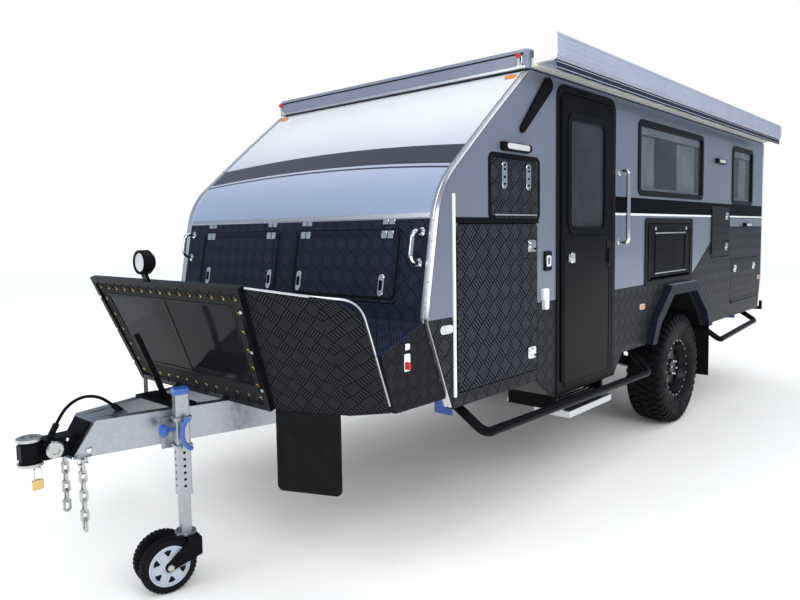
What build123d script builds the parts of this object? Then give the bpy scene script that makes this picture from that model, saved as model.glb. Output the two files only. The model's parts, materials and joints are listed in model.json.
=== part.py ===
from build123d import *
import math
import os
from collections import namedtuple

# Touring caravan with a lifting roof, parked on its two road wheels and its jockey wheel.
# Millimetres. While drawing: +X forward to the coupling, +Y to the door side, +Z up,
# with x = 0 at the axle, y = 0 on the centre plane and z = 0 on the ground.

# Clearances
RUN = 5.0               # moving leaf to the frame around it
SEAT = 0.3              # piece that rests on, or slides past, another body

# Cabin shell
HALF_WIDTH = 1050.0     # centre plane to the outer face of a side wall
WALL = 30.0             # sandwich panel
BODY_BOTTOM = 705.0
WALL_TOP = 2385.0
FOOT_X = 2930.0         # lower front edge
KNEE_X = 3100.0         # foremost line of the nose
KNEE_Z = 1129.0
NOSE_LEAN = 10.0        # degrees, knee to seam
SEAM_Z = 1600.0         # seam of lower and upper front panels
CROWN_X = 2887.0        # where the tight brow eases into the long crown
CROWN_Z = 1832.0
ROOF_X = 2229.0         # crown meets the roof frame
HEADER = 45.0           # front roof frame, square
REAR_X = -2370.0
TAIL_TUCK = 90.0        # lower rear edge, in from the rear wall
REAR_KINK_Z = 1030.0

# Chassis and drawbar
RAIL_H = 150.0
RAIL_W = 50.0
RAIL_TOP = 757.0
RAIL_IN = 450.0         # main rail centre, in from the side wall
RAIL_TAIL = 50.0        # rail ends, out from the rear wall
NOSE_X = 4270.0         # front end of the drawbar at its foot
NOSE_CUT = 95.0         # the drawbar's end leans back by this over its height
NOSE_Y = 50.0           # drawbar leg centre at its front end
DRAWBAR_ANGLE = 14.6    # degrees, each leg to the centre plane
NOSE_PLATE = 260.0
CROSS_H = 100.0
CROSS_W = 50.0
CROSS_X = (1000.0, -800.0, REAR_X + 70.0)
DRAWBAR_TIE_X = 3300.0
FLOOR_T = 43.0

# Wheels and axle
WHEEL_R = 430.0
TYRE_W = 270.0
TRACK_IN = 120.0        # tyre's middle, in from the side wall
# Tyre shoulder from the tread to the sidewall: in from the sidewall, down from the tread
TYRE_SHOULDER = ((42.0, 0.0), (26.0, 6.0), (12.0, 20.0), (3.0, 46.0))
BEAD_RISE = 85.0
BEAD_IN = 30.0
RIM_R = 228.0
RIM_W = 216.0
RIM_T = 9.0
RIM_DISC = 42.0         # disc's inner face, out from the tyre's middle
RIM_SLOTS = 8
RIM_SLOT_R = 27.0
RIM_SLOT_PITCH_R = 150.0
HUB_R = 78.0
DRUM_FACE = 60.0        # face that the rim seats on, in from the tyre's middle
DRUM_R = 150.0
DRUM_W = 70.0
ARM_W = 100.0
ARM_H = 80.0
ARM_PIVOT_X = 480.0
SPRING_R = 45.0
SPRING_CLEAR = 8.0
STUB_R = 40.0
ARM_GAP = 15.0          # trailing arm to brake drum
ARM_SEAT_L = 100.0      # bracket that carries the arm's pivot
ARM_SEAT_H = 40.0

# Wheel arch, half outline: half width and height of each bend
ARCH = ((580.0, BODY_BOTTOM), (500.0, 840.0), (245.0, 1035.0))
FLARE_W = 75.0
FLARE_OUT = 55.0
TUB_T = 6.0
TUB_DEPTH = 260.0

# Entry door and the drop in the wall around it
DOOR_REAR = 1191.0
DOOR_FRONT = 1952.0
DOOR_SILL = 576.0
DOOR_HEAD = 23.0        # wall left above the door
DOOR_CORNER = 85.0
DOOR_BAR = 42.0
DROP_REAR = 140.0       # slope of the wall's edge behind the door, along x
DROP_FRONT = 195.0
DROP_LIP = 10.0         # wall left beside the door at the sill
GLASS_W = 450.0
GLASS_H = 640.0
GLASS_HEAD = 135.0      # door leaf left above its pane
GLASS_CORNER = 40.0
GLASS_T = 8.0
WELL_DEPTH = 330.0      # entry well, in from the wall
WELL_T = 15.0

# Hinged leaves
BARREL_R = 5.7
BARREL_RISE = BARREL_R + SEAT
FLANGE = 30.0
FLANGE_T = 4.0
FRAME_PROUD = 8.0
FRAME_BAR = 38.0
PANE_CORNER = 8.0       # least inner corner of a frame
TABLE_T = 25.0
TABLE_CORNER = 15.0

# Openings in the side walls: side +1 left or -1 right, rear and front edge, sill and head, corner radius
Opening = namedtuple("Opening", "side rear front sill head corner")
WINDOWS = {
    "big_left": Opening(+1, -504.0, 822.0, WALL_TOP - 619.0, WALL_TOP - 93.0, 60.0),
    "small_left": Opening(+1, REAR_X + 410.0, REAR_X + 1070.0, WALL_TOP - 638.0, WALL_TOP - 99.0, 60.0),
    "big_right": Opening(-1, -504.0, 822.0, WALL_TOP - 619.0, WALL_TOP - 93.0, 60.0),
    "small_right": Opening(-1, REAR_X + 410.0, REAR_X + 1070.0, WALL_TOP - 638.0, WALL_TOP - 99.0, 60.0),
}
TABLE = Opening(+1, -265.0, 690.0, 1126.0, 1613.0, 30.0)
HATCHES = {
    "boot_door_left": Opening(+1, 2156.0, 2887.0, 768.0, 1576.0, 25.0),
    "boot_door_right": Opening(-1, 2156.0, 2887.0, 768.0, 1576.0, 25.0),
    "upper_hatch": Opening(+1, 2156.0, 2602.0, 1606.0, 1908.0, 25.0),
    "slim_hatch": Opening(+1, REAR_X + 1110.0, REAR_X + 1630.0, 1275.0, 1730.0, 25.0),
    "rear_hatch": Opening(+1, REAR_X + 170.0, REAR_X + 1070.0, 832.0, 1240.0, 25.0),
}
# Edge that carries each hatch's hinge, as seen from outside
HINGE_EDGE = {
    "boot_door_left": "left",
    "boot_door_right": "right",
    "upper_hatch": "bottom",
    "slim_hatch": "left",
    "rear_hatch": "bottom",
}
LINER_T = 10.0
LINER_DEPTH = {"slim_hatch": 300.0, "rear_hatch": 450.0}

# Two hatches in the leaning lower front panel
FRONT_HATCH_IN = 63.0   # inner edge from the centre plane
FRONT_HATCH_SIDE = 172.0    # panel left between a hatch and the side wall
FRONT_HATCH_LOW = 72.0  # up the slope from the knee
FRONT_HATCH_H = 362.0
FRONT_HATCH_CORNER = 30.0

# Bed base over the boot
BED_T = 18.0
BED_Z = 1582.0
BULKHEAD_X = 2095.0

# Lifting roof
LID_GAP = 10.0          # folded skirt between wall tops and lid
LID_H = 105.0
LID_WALL = 40.0
LID_TOP = 28.0
LID_FRONT = 2245.0
LID_TAIL = 5.0          # lid's rear edge, out from the rear wall
LID_BEVEL = 14.0
LID_CORNER = 30.0
SKIRT_T = 16.0

# Awning on the lid's left edge
AWNING_RAIL_T = 35.0
AWNING_RAIL_H = 48.0
AWNING_D = 120.0
AWNING_H = 155.0
AWNING_FRONT = 2250.0
AWNING_TAIL = 20.0      # case's rear end, out from the rear wall
AWNING_CAP = 32.0
AWNING_ROUND = 38.0

# Front toolbox and its sloping lid
BOX_TOP_FRONT = (3385.0, 1018.0)
BOX_BOTTOM_FRONT = (3300.0, RAIL_TOP)
BOX_WALL = 12.0
BOX_IN = 20.0           # box end, in from the side wall
BOX_LID_T = 8.0

# Stone guard
GUARD_FOOT_X = 3590.0
GUARD_TOP_X = 3808.0
GUARD_TOP_Z = 1322.0
GUARD_FOOT_HALF = 575.0
GUARD_TOP_HALF = 670.0
GUARD_BAR = 30.0
MESH_T = 4.0
WING_T = 4.0
# Wing lines from the frame outwards: foot x, y and top x, y, z
Fold = namedtuple("Fold", "foot_x foot_y top_x top_y top_z")
WING_CREASE = Fold(3445.0, HALF_WIDTH - 150.0, 3668.0, HALF_WIDTH - 100.0, 1285.0)
WING_EDGE = Fold(3310.0, HALF_WIDTH - 45.0, 3496.0, HALF_WIDTH - 31.0, 1262.0)
WING_CORNER = 230.0
FLAP_T = 3.0            # half thickness of the rubber
FLAP_W = 310.0
FLAP_H = 360.0
FLAP_CORNER = 28.0
WHEEL_FLAP_W = 250.0
WHEEL_FLAP_IN = 25.0    # flap's outer edge, in from the flare
WHEEL_FLAP_X = -640.0
WHEEL_FLAP_LOW = 265.0
LAMP_R = 58.0
LAMP_D = 60.0
LAMP_Y = -85.0
LAMP_STEM = 34.0
LAMP_FOOT_W = 40.0
LAMP_EASE = 20.0        # chamfer round the lamp's back

# Coupling
PIN_X = 4405.0
PIN_BORE_R = 18.0
PIN_HEAD_R = 42.0
PIN_HEAD_H = 90.0
COUPLING_Z = 662.0
COUPLING_SIDE = 84.0
YOKE_R = 34.0
YOKE_W = 120.0
YOKE_BACK = 8.0         # cross pivot, back from the middle of the channel
HITCH_PLATE_T = 12.0
HITCH_PLATE_LIP = 20.0  # plate past the drawbar on each side
PIN_BOSS = (50.0, 60.0)

# Safety chains
LINK_WIRE = 5.0
LINK_PITCH = 42.0
LINK_W = 34.0
LINK_EASE = 0.3         # cut corner of a link, as a share of its width
# Each chain: place under the drawbar's nose, number of links
Chain = namedtuple("Chain", "x y links")
CHAINS = (Chain(4235.0, 90.0, 7), Chain(4235.0, -90.0, 6))

# Lead from the drawbar to its socket on the coupling plate: points along its arc
LEAD_D = 14.0
LEAD_POINTS = (
    (4050.0, 0.0, 782.0), (4082.0, 0.0, 812.0), (4120.0, 2.0, 836.0), (4165.0, 5.0, 848.0),
    (4208.0, 8.0, 844.0), (4248.0, 10.0, 824.0), (4278.0, 10.0, 793.0), (4298.0, 8.0, 756.0),
)
GLAND_R = 13.0
GLAND_L = 120.0         # drawn long, then cut flush with its seat

# Hand brake
LEVER_X = 3800.0
LEVER_TIP = (3925.0, 1080.0)
LEVER_T = 12.0
LEVER_W = 26.0
LEVER_BASE = 110.0

# Jockey wheel
LEG_X = 3884.0
LEG_SIDE = 60.0
LEG_WALL = 5.0
LEG_TOP = 850.0
LEG_BOTTOM = 400.0
LEG_CORNER = 6.0
LEG_CAP = 18.0
WINDER = (26.0, 28.0, 120.0)   # box of the winding handle: along, out, up
WINDER_RISE = 15.0
CLAMP_PLATE = 14.0
PIVOT_R = 46.0          # boss the leg turns on
CLAMP_DROP = 25.0       # pivot, below the middle of the rail
CLAMP_T = 75.0          # holds the twin wheels clear of the leg when the jockey swings up
CLAMP_W = 130.0
CLAMP_H = 140.0
STEM_SIDE = 46.0
STEM_FOOT = 232.0
STEM_CORNER = 4.0
STEM_LAP = 160.0        # stem inside the leg at rest
STEM_GUIDE = 60.0
SWIVEL_R = 36.0
SWIVEL_T = 14.0
FORK_TRAIL = 95.0
FORK_ARM_T = 6.0
FORK_BACK = 45.0        # head plate, behind the swivel
FORK_FRONT = 8.0        # head plate, ahead of the swivel and clear of the tyres
FORK_EYE_R = 22.0
EYE_SHARE = 0.7         # where the arm's edges meet its eye
CASTOR_HEADING = -12.0  # degrees; nearly along the drawbar, so the leg swings up with its wheels level
JOCKEY_R = 120.0
JOCKEY_TYRE_W = 48.0
JOCKEY_GAP = 46.0       # between the twin tyres
JOCKEY_EASE = 10.0      # chamfer round a jockey tyre
JOCKEY_HUB_INSET = 3.0
JOCKEY_HUB_R = 66.0
JOCKEY_AXLE_R = 11.0

# Side protection rails of round tube
TUBE_R = 24.0
RAIL_STAND = 70.0       # rail's line, out from the side wall
# Rail lines: fixing x, bend x and z, for the front rail ahead of the wheel and the rear rail behind it
SideRail = namedtuple("SideRail", "fix_a bend_a z_a bend_b z_b fix_b")
SIDE_RAILS = (
    SideRail(2800.0, 2760.0, 560.0, 760.0, 530.0, 700.0),
    SideRail(-760.0, -800.0, 556.0, REAR_X + 470.0, 612.0, REAR_X + 410.0),
)
RAIL_FIX_IN = 190.0     # fixing under the floor, in from the side wall
RAIL_BEND_R = 60.0
BUMPER_D = 60.0
BUMPER_H = 90.0
BUMPER_IN = 5.0         # bumper end, in from the side wall
BUMPER_ROUND = 25.0

# Corner steadies, folded up under the floor
STEADY_PIVOTS = {"front": 2180.0, "rear": REAR_X + 950.0}
STEADY_IN = 200.0       # steady's line, in from the side wall
STEADY_Z = 655.0
STEADY_LEN = 560.0
STEADY_TUBE = 40.0
STEADY_PIN_R = 8.0
EAR_T = 8.0
FOOT_L = 90.0
FOOT_W = 110.0
FOOT_T = 10.0

# Sliding entry step
STEP_W = 560.0
STEP_D = 240.0
STEP_Z = 470.0
STEP_T = 38.0
STEP_PROUD = 35.0       # step's edge, out from the side wall
STEP_ARM = 384.0        # arms that slide in the runners
STEP_RUNNER = 336.0
RUNNER = 25.0

# Lamps on the left wall: centre x and z, width, height
WallLamp = namedtuple("WallLamp", "x z width height")
WALL_LAMPS = (
    WallLamp(2385.0, 1965.0, 270.0, 48.0),
    WallLamp(-940.0, 2115.0, 250.0, 48.0),
    WallLamp(REAR_X + 570.0, 1560.0, 250.0, 40.0),
)
WALL_LAMP_D = 28.0
WALL_LAMP_TAPER = 12.0  # degrees
WALL_LAMP_ROUND = 0.35  # corner radius, as a share of the height
TAIL_LAMP = (40.0, 95.0, 320.0)
TAIL_LAMP_IN = 120.0    # lamp's middle, in from the side wall
TAIL_LAMP_Z = 1240.0

# Grab handles: bar radius and stand-off
HANDLE_R = 11.0
HANDLE_OUT = 62.0
HANDLE_BEND = 32.0
DOOR_HANDLE_X = 1120.0
DOOR_HANDLE_Z = (1450.0, 1915.0)
NOSE_HANDLE_IN = 90.0   # handle's line, in from the side wall
NOSE_HANDLE_V = (270.0, 415.0)

# Worked-out places
RAIL_BOTTOM = RAIL_TOP - RAIL_H
INNER_HALF = HALF_WIDTH - WALL
REAR_FOOT_X = REAR_X + TAIL_TUCK
RAIL_Y = HALF_WIDTH - RAIL_IN
RAIL_REAR = REAR_X - RAIL_TAIL
TRACK_HALF = HALF_WIDTH - TRACK_IN
DOOR_TOP = WALL_TOP - DOOR_HEAD
FRONT_HATCH_W = INNER_HALF - FRONT_HATCH_IN - FRONT_HATCH_SIDE
LID_REAR = REAR_X - LID_TAIL
AWNING_REAR = REAR_X - AWNING_TAIL
BOX_HALF = HALF_WIDTH - BOX_IN
RAIL_OUT = HALF_WIDTH + RAIL_STAND
RAIL_FIX_Y = HALF_WIDTH - RAIL_FIX_IN
BUMPER_HALF = HALF_WIDTH - BUMPER_IN
STEADY_Y = HALF_WIDTH - STEADY_IN
STEP_OUT = HALF_WIDTH + STEP_PROUD
TAIL_LAMP_Y = HALF_WIDTH - TAIL_LAMP_IN
NOSE_HANDLE_Y = HALF_WIDTH - NOSE_HANDLE_IN
WIND_RANGE = LEG_BOTTOM - STEM_FOOT - RUN
SEAM_X = KNEE_X - (SEAM_Z - KNEE_Z) * math.tan(math.radians(NOSE_LEAN))
FOOT = (FOOT_X, BODY_BOTTOM)
KNEE = (KNEE_X, KNEE_Z)
SEAM = (SEAM_X, SEAM_Z)
CROWN = (CROWN_X, CROWN_Z)
ROOF_FRONT = (ROOF_X, WALL_TOP)
NOSE_FOOT = (FOOT_X + (RAIL_TOP - BODY_BOTTOM) * (KNEE_X - FOOT_X) / (KNEE_Z - BODY_BOTTOM), RAIL_TOP)
TAIL_SLOPE = (REAR_X - REAR_FOOT_X) / (REAR_KINK_Z - BODY_BOTTOM)
TAIL_FOOT = (REAR_FOOT_X + (RAIL_TOP - BODY_BOTTOM) * TAIL_SLOPE, RAIL_TOP)
CLAMP_Z = RAIL_TOP - RAIL_H / 2 - CLAMP_DROP
LEG_RUN = (RAIL_Y - NOSE_Y) / math.tan(math.radians(DRAWBAR_ANGLE))
DRAWBAR_REAR = NOSE_X - LEG_RUN
LID_BOTTOM = WALL_TOP + LID_GAP
COUPLING_TOP = COUPLING_Z + COUPLING_SIDE / 2
AWNING_IN = HALF_WIDTH + AWNING_RAIL_T
AWNING_BOTTOM = LID_BOTTOM + 20.0
FLOOR_TOP = RAIL_TOP + FLOOR_T
DOOR_W = DOOR_FRONT - DOOR_REAR - 2 * DOOR_BAR
DOOR_H = DOOR_TOP - DOOR_SILL - 2 * DOOR_BAR
STEP_X = (DOOR_REAR + DOOR_FRONT) / 2
ARM_Y = TRACK_HALF - DRUM_FACE - SEAT - DRUM_W - ARM_W / 2 - ARM_GAP
NOSE_FACE = Plane(origin=(NOSE_X, 0, RAIL_BOTTOM), x_dir=(0, 1, 0), z_dir=(RAIL_H, 0, NOSE_CUT))


def side(y):
    """Upright plane at the given y, drawn in x and z; its normal points to the right."""
    return Plane.XZ.offset(-y)


def wall_plane(opening, proud=0.0):
    """Plane on a wall's outer face at an opening's centre, its normal pointing outwards."""
    middle = ((opening.rear + opening.front) / 2, (opening.sill + opening.head) / 2)
    origin = (middle[0], opening.side * (HALF_WIDTH + proud), middle[1])
    return Plane(origin=origin, x_dir=(-opening.side, 0, 0), z_dir=(0, opening.side, 0))


def nose_plane(y, v):
    """Plane on the leaning lower front panel, at y across and v up the slope from the knee."""
    lean = math.radians(NOSE_LEAN)
    origin = (KNEE_X - v * math.sin(lean), y, KNEE_Z + v * math.cos(lean))
    return Plane(origin=origin, x_dir=(0, 1, 0), z_dir=(math.cos(lean), 0, math.sin(lean)))


def front_hatch_plane(facing):
    """Plane at the middle of the left (+1) or right (-1) front hatch."""
    return nose_plane(facing * (FRONT_HATCH_IN + FRONT_HATCH_W / 2), FRONT_HATCH_LOW + FRONT_HATCH_H / 2)


def drawbar_y(x):
    """Distance of a drawbar leg's middle from the centre plane."""
    return NOSE_Y + (NOSE_X - x) * math.tan(math.radians(DRAWBAR_ANGLE))


def draw_crown():
    """Brow and long crown of the front, as two tangent arcs."""
    brow = TangentArc(SEAM, CROWN, tangent=(SEAM_X - KNEE_X, SEAM_Z - KNEE_Z))
    TangentArc(CROWN, ROOF_FRONT, tangent=brow % 1)


def draw_link(width, length, mode=Mode.ADD):
    """Eight-sided outline of a chain link, drawn upright."""
    ease = width * LINK_EASE
    corners = ((width / 2 - ease, length / 2), (width / 2, length / 2 - ease))
    right = [*corners, *[(x, -y) for x, y in reversed(corners)]]
    Polygon(*right, *[(-x, y) for x, y in reversed(right)], align=None, mode=mode)


def draw_cabin_side(with_door):
    """Side wall outline, with the drop around the door on the door side."""
    with BuildLine() as outline:
        Polyline(FOOT, KNEE, SEAM)
        draw_crown()
        tail = (REAR_FOOT_X, BODY_BOTTOM)
        Polyline(ROOF_FRONT, (REAR_X, WALL_TOP), (REAR_X, REAR_KINK_Z), tail, FOOT)
    make_face(outline.edges())
    if with_door:
        Polygon(
            (DOOR_REAR - DROP_REAR, BODY_BOTTOM), (DOOR_REAR - DROP_LIP, DOOR_SILL),
            (DOOR_FRONT + DROP_LIP, DOOR_SILL), (DOOR_FRONT + DROP_FRONT, BODY_BOTTOM), align=None,
        )


def draw_arch(grow=0.0, floor=BODY_BOTTOM):
    """Eight-sided wheel arch opening, grown outwards by the given width."""
    low, bend, top = ARCH
    reach = [(low[0] + grow, floor), (low[0] + grow, low[1]), (bend[0] + grow, bend[1] + grow / 2)]
    reach.append((top[0] + grow / 2, top[1] + grow))
    if floor == low[1]:
        reach.pop(0)
    Polygon(*reach, *[(-x, z) for x, z in reversed(reach)], align=None)


def draw_door(sketch, bar=0.0, corner=DOOR_CORNER):
    """Door outline with rounded upper corners, drawn inwards by the given bar width."""
    with Locations(((DOOR_REAR + DOOR_FRONT) / 2, (DOOR_SILL + DOOR_TOP) / 2)):
        Rectangle(DOOR_FRONT - DOOR_REAR - 2 * bar, DOOR_TOP - DOOR_SILL - 2 * bar)
    fillet(sketch.vertices().group_by(Axis.Y)[-1], corner)


def side_wall(facing, openings, with_door):
    """Side wall panel with its arch and openings cut through."""
    with BuildPart() as wall:
        with BuildSketch(side(facing * HALF_WIDTH)):
            draw_cabin_side(with_door)
        extrude(amount=facing * WALL)
        with BuildSketch(side(facing * HALF_WIDTH)):
            draw_arch(floor=BODY_BOTTOM - WALL)
        extrude(amount=facing * WALL, mode=Mode.SUBTRACT)
        for opening in openings:
            with BuildSketch(wall_plane(opening)):
                RectangleRounded(opening.front - opening.rear, opening.head - opening.sill, opening.corner)
            extrude(amount=-WALL, mode=Mode.SUBTRACT)
        if with_door:
            with BuildSketch(side(facing * HALF_WIDTH)) as doorway:
                draw_door(doorway)
            extrude(amount=facing * WALL, mode=Mode.SUBTRACT)
    return wall.part


def add_hinge(plane, width, height, edge):
    """Piano hinge along one edge of an opening: flange on the leaf, barrel over the edge."""
    across = edge in ("left", "right")
    sign = 1 if edge in ("right", "top") else -1
    reach = sign * (width if across else height) / 2
    length = (height if across else width) - 2 * RUN - 2 * FLANGE
    inset = reach - sign * FLANGE / 2
    flange_at = (inset, 0, FLANGE_T / 2) if across else (0, inset, FLANGE_T / 2)
    barrel_at = (reach, 0, BARREL_RISE) if across else (0, reach, BARREL_RISE)
    with Locations(plane.location * Location(flange_at)):
        Box(FLANGE if across else length, length if across else FLANGE, FLANGE_T)
    with Locations(plane.location * Location(barrel_at, (90, 0, 0) if across else (0, 90, 0))):
        Cylinder(BARREL_R, length)


def hinged_leaf(plane, width, height, thickness, corner, edge):
    """Flush leaf for an opening of the given size, with its hinge on one edge."""
    with BuildPart() as leaf:
        with BuildSketch(plane):
            RectangleRounded(width - 2 * RUN, height - 2 * RUN, corner - RUN)
        extrude(amount=-thickness)
        add_hinge(plane, width, height, edge)
    return leaf.part


def hatch_leaf(name):
    """Leaf of a side hatch, as thick as the wall."""
    opening = HATCHES[name]
    width, height = opening.front - opening.rear, opening.head - opening.sill
    return hinged_leaf(wall_plane(opening), width, height, WALL, opening.corner, HINGE_EDGE[name])


def road_tyre(facing):
    """Off-road tyre, round-shouldered, on the left (+1) or right (-1)."""
    middle = (0, facing * TRACK_HALF, WHEEL_R)
    half, bead = TYRE_W / 2, RIM_R + SEAT
    with BuildPart() as tyre:
        with BuildSketch(Plane(origin=middle, x_dir=(0, facing, 0), z_dir=(facing, 0, 0))):
            with BuildLine():
                right = [(half - inset, WHEEL_R - drop) for inset, drop in TYRE_SHOULDER]
                right += [(half, bead + BEAD_RISE), (half - BEAD_IN, bead)]
                Polyline(*[(-x, r) for x, r in reversed(right)], *right, close=True)
            make_face()
        revolve(axis=Axis(middle, (0, 1, 0)))
    return tyre.part


def road_rim(facing):
    """Steel rim with a slotted disc and a hub that seats on the brake drum."""
    middle = (0, facing * TRACK_HALF, WHEEL_R)
    plane = Plane(origin=middle, x_dir=(0, facing, 0), z_dir=(facing, 0, 0))
    half, drum_face = RIM_W / 2, -DRUM_FACE
    with BuildPart() as rim:
        with BuildSketch(plane):
            with BuildLine():
                Polyline(
                    (-half, RIM_R), (-half, RIM_R - RIM_T),
                    (RIM_DISC - 20, RIM_R - 2 * RIM_T), (RIM_DISC, HUB_R + 20),
                    (drum_face, HUB_R), (drum_face, 0), (RIM_DISC + 34, 0), (RIM_DISC + 34, HUB_R - 24),
                    (RIM_DISC + 14, HUB_R - 8), (RIM_DISC + 12, RIM_R - 34), (half - 22, RIM_R - 2 * RIM_T),
                    (half, RIM_R - RIM_T), (half, RIM_R), close=True,
                )
            make_face()
        revolve(axis=Axis(middle, (0, 1, 0)))
        with BuildSketch(Plane(origin=middle, z_dir=(0, facing, 0))):
            with PolarLocations(RIM_SLOT_PITCH_R, RIM_SLOTS):
                Circle(RIM_SLOT_R)
        extrude(amount=RIM_W, mode=Mode.SUBTRACT)
    return rim.part


# Welded chassis: main rails, drawbar legs, nose plate, cross members and steady outriggers
with BuildPart() as chassis_frame:
    with BuildSketch(Plane.XY.offset(RAIL_BOTTOM)):
        rail_front = DRAWBAR_REAR + RAIL_H
        for hand in (1, -1):
            with Locations(((RAIL_REAR + rail_front) / 2, hand * RAIL_Y)):
                Rectangle(rail_front - RAIL_REAR, RAIL_W)
            leg_middle = ((NOSE_X + DRAWBAR_REAR) / 2, hand * (NOSE_Y + RAIL_Y) / 2)
            with Locations(Location(leg_middle, -hand * DRAWBAR_ANGLE)):
                Rectangle(LEG_RUN / math.cos(math.radians(DRAWBAR_ANGLE)), RAIL_W)
        with Locations((NOSE_X - NOSE_PLATE / 2, 0)):
            Rectangle(NOSE_PLATE, 2 * NOSE_Y)
    extrude(amount=RAIL_H)
    with BuildSketch(Plane.XY.offset(RAIL_TOP - CROSS_H)):
        for cross_x in (DRAWBAR_REAR, *CROSS_X):
            with Locations((cross_x, 0)):
                Rectangle(CROSS_W, 2 * RAIL_Y)
        with Locations((DRAWBAR_TIE_X, 0)):
            Rectangle(CROSS_W, 2 * drawbar_y(DRAWBAR_TIE_X))
    extrude(amount=CROSS_H)
    ear_gap = STEADY_TUBE / 2 + 2 * SEAT
    for pivot_x in STEADY_PIVOTS.values():
        for hand in (1, -1):
            outer = STEADY_Y + ear_gap + EAR_T
            with Locations((pivot_x, hand * (RAIL_Y + outer) / 2, RAIL_TOP - CROSS_W / 2)):
                Box(CROSS_W, outer - RAIL_Y, CROSS_W)
            for ear in (1, -1):
                ear_y = hand * STEADY_Y + ear * (ear_gap + EAR_T / 2)
                with Locations((pivot_x, ear_y, (STEADY_Z - CROSS_W / 2 + RAIL_TOP) / 2)):
                    Box(CROSS_W, EAR_T, RAIL_TOP - STEADY_Z + CROSS_W / 2)
            with Locations(Location((pivot_x, hand * STEADY_Y, STEADY_Z), (90, 0, 0))):
                Cylinder(STEADY_PIN_R, 2 * (ear_gap + EAR_T))
    split(bisect_by=NOSE_FACE, keep=Keep.BOTTOM)

# Trailing arms with coil springs, stub axles and brake drums, one group each side
with BuildPart() as axle:
    for hand in (1, -1):
        inner = hand * (ARM_Y - ARM_W / 2)
        with BuildSketch(side(inner)):
            with BuildLine():
                Polyline(
                    (ARM_PIVOT_X + 40, RAIL_BOTTOM), (ARM_PIVOT_X + 40, RAIL_BOTTOM - 90),
                    (40, WHEEL_R - ARM_H / 2), (-90, WHEEL_R - ARM_H / 2),
                    (-90, WHEEL_R + ARM_H / 2), (40, WHEEL_R + ARM_H / 2),
                    (ARM_PIVOT_X - 60, RAIL_BOTTOM - 40), (ARM_PIVOT_X - 60, RAIL_BOTTOM), close=True,
                )
            make_face()
        extrude(amount=-hand * ARM_W)
        with Locations((ARM_PIVOT_X - 10, hand * (RAIL_Y + ARM_Y) / 2, RAIL_BOTTOM - ARM_SEAT_H / 2)):
            Box(ARM_SEAT_L, ARM_Y - RAIL_Y + RAIL_W, ARM_SEAT_H)
        spring_y = INNER_HALF - TUB_DEPTH - SPRING_R - SPRING_CLEAR
        with Locations((0, hand * spring_y, (WHEEL_R + ARM_H / 2 + RAIL_TOP) / 2)):
            Cylinder(SPRING_R, RAIL_TOP - WHEEL_R - ARM_H / 2)
        drum_inner = TRACK_HALF - DRUM_FACE - SEAT - DRUM_W
        with Locations(Location((0, hand * (drum_inner + DRUM_W / 2), WHEEL_R), (90, 0, 0))):
            Cylinder(DRUM_R, DRUM_W)
        with Locations(Location((0, hand * (ARM_Y + drum_inner) / 2, WHEEL_R), (90, 0, 0))):
            Cylinder(STUB_R, drum_inner - ARM_Y + ARM_W)

# Coupling: plate on the drawbar's leaning end, channel, cross pivot, and a pin head open at both ends
with BuildPart() as coupling:
    channel_rear = NOSE_X - NOSE_CUT
    with Locations(((channel_rear + PIN_X - PIN_HEAD_R) / 2, 0, COUPLING_Z)):
        Box(PIN_X - PIN_HEAD_R - channel_rear, COUPLING_SIDE, COUPLING_SIDE)
    with Locations(Location(((NOSE_X + PIN_X) / 2 - YOKE_BACK, 0, COUPLING_Z), (90, 0, 0))):
        Cylinder(YOKE_R, YOKE_W)
    with Locations((PIN_X, 0, COUPLING_Z)):
        Cylinder(PIN_HEAD_R, PIN_HEAD_H)
        Box(2 * PIN_HEAD_R, *PIN_BOSS)
    with Locations((PIN_X, 0, COUPLING_Z)):
        Cylinder(PIN_BORE_R, 2 * PIN_HEAD_H, mode=Mode.SUBTRACT)
    split(bisect_by=NOSE_FACE, keep=Keep.TOP)
    with BuildSketch(NOSE_FACE):
        with Locations((0, math.hypot(RAIL_H, NOSE_CUT) / 2)):
            Rectangle(2 * (NOSE_Y + HITCH_PLATE_LIP), math.hypot(RAIL_H, NOSE_CUT) - 2 * HITCH_PLATE_T)
    extrude(amount=HITCH_PLATE_T)

# Safety chains: links at right angles to each other, hanging from lugs under the drawbar's nose
with BuildPart() as safety_chains:
    for chain in CHAINS:
        lug_y = math.copysign(drawbar_y(chain.x), chain.y)
        with Locations((chain.x, (lug_y + chain.y) / 2, RAIL_BOTTOM - LINK_WIRE)):
            Box(4 * LINK_WIRE, abs(chain.y - lug_y) + RAIL_W, 2 * LINK_WIRE)
        for number in range(chain.links):
            turn = 0 if number % 2 else 90
            link_z = RAIL_BOTTOM - 3 * LINK_WIRE - (number + 0.5) * LINK_PITCH
            centre = Location((chain.x, chain.y, link_z), (0, 0, turn))
            link_plane = Plane(centre * Location((0, 0, 0), (90, 0, 0)))
            with BuildSketch(link_plane):
                draw_link(LINK_W, LINK_PITCH + 4 * LINK_WIRE)
                draw_link(LINK_W - 4 * LINK_WIRE, LINK_PITCH - SEAT, Mode.SUBTRACT)
            extrude(amount=LINK_WIRE, both=True)

# Lead that arcs from the drawbar to its socket on the coupling
with BuildPart() as wiring_lead:
    radii = []
    points = [Vector(p) for p in LEAD_POINTS]
    for before, here, after in zip(points, points[1:], points[2:]):
        turn = math.radians((here - before).get_angle(after - here))
        shorter = min((here - before).length, (after - here).length)
        radii.append(0.45 * shorter / math.tan(turn / 2))
    with BuildLine() as lead_path:
        FilletPolyline(*LEAD_POINTS, radius=radii)
    with BuildSketch(Plane(origin=LEAD_POINTS[0], z_dir=points[1] - points[0])):
        Circle(LEAD_D / 2)
    sweep(path=lead_path.wires()[0])
print("lead radii", [round(radius) for radius in radii])

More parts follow.
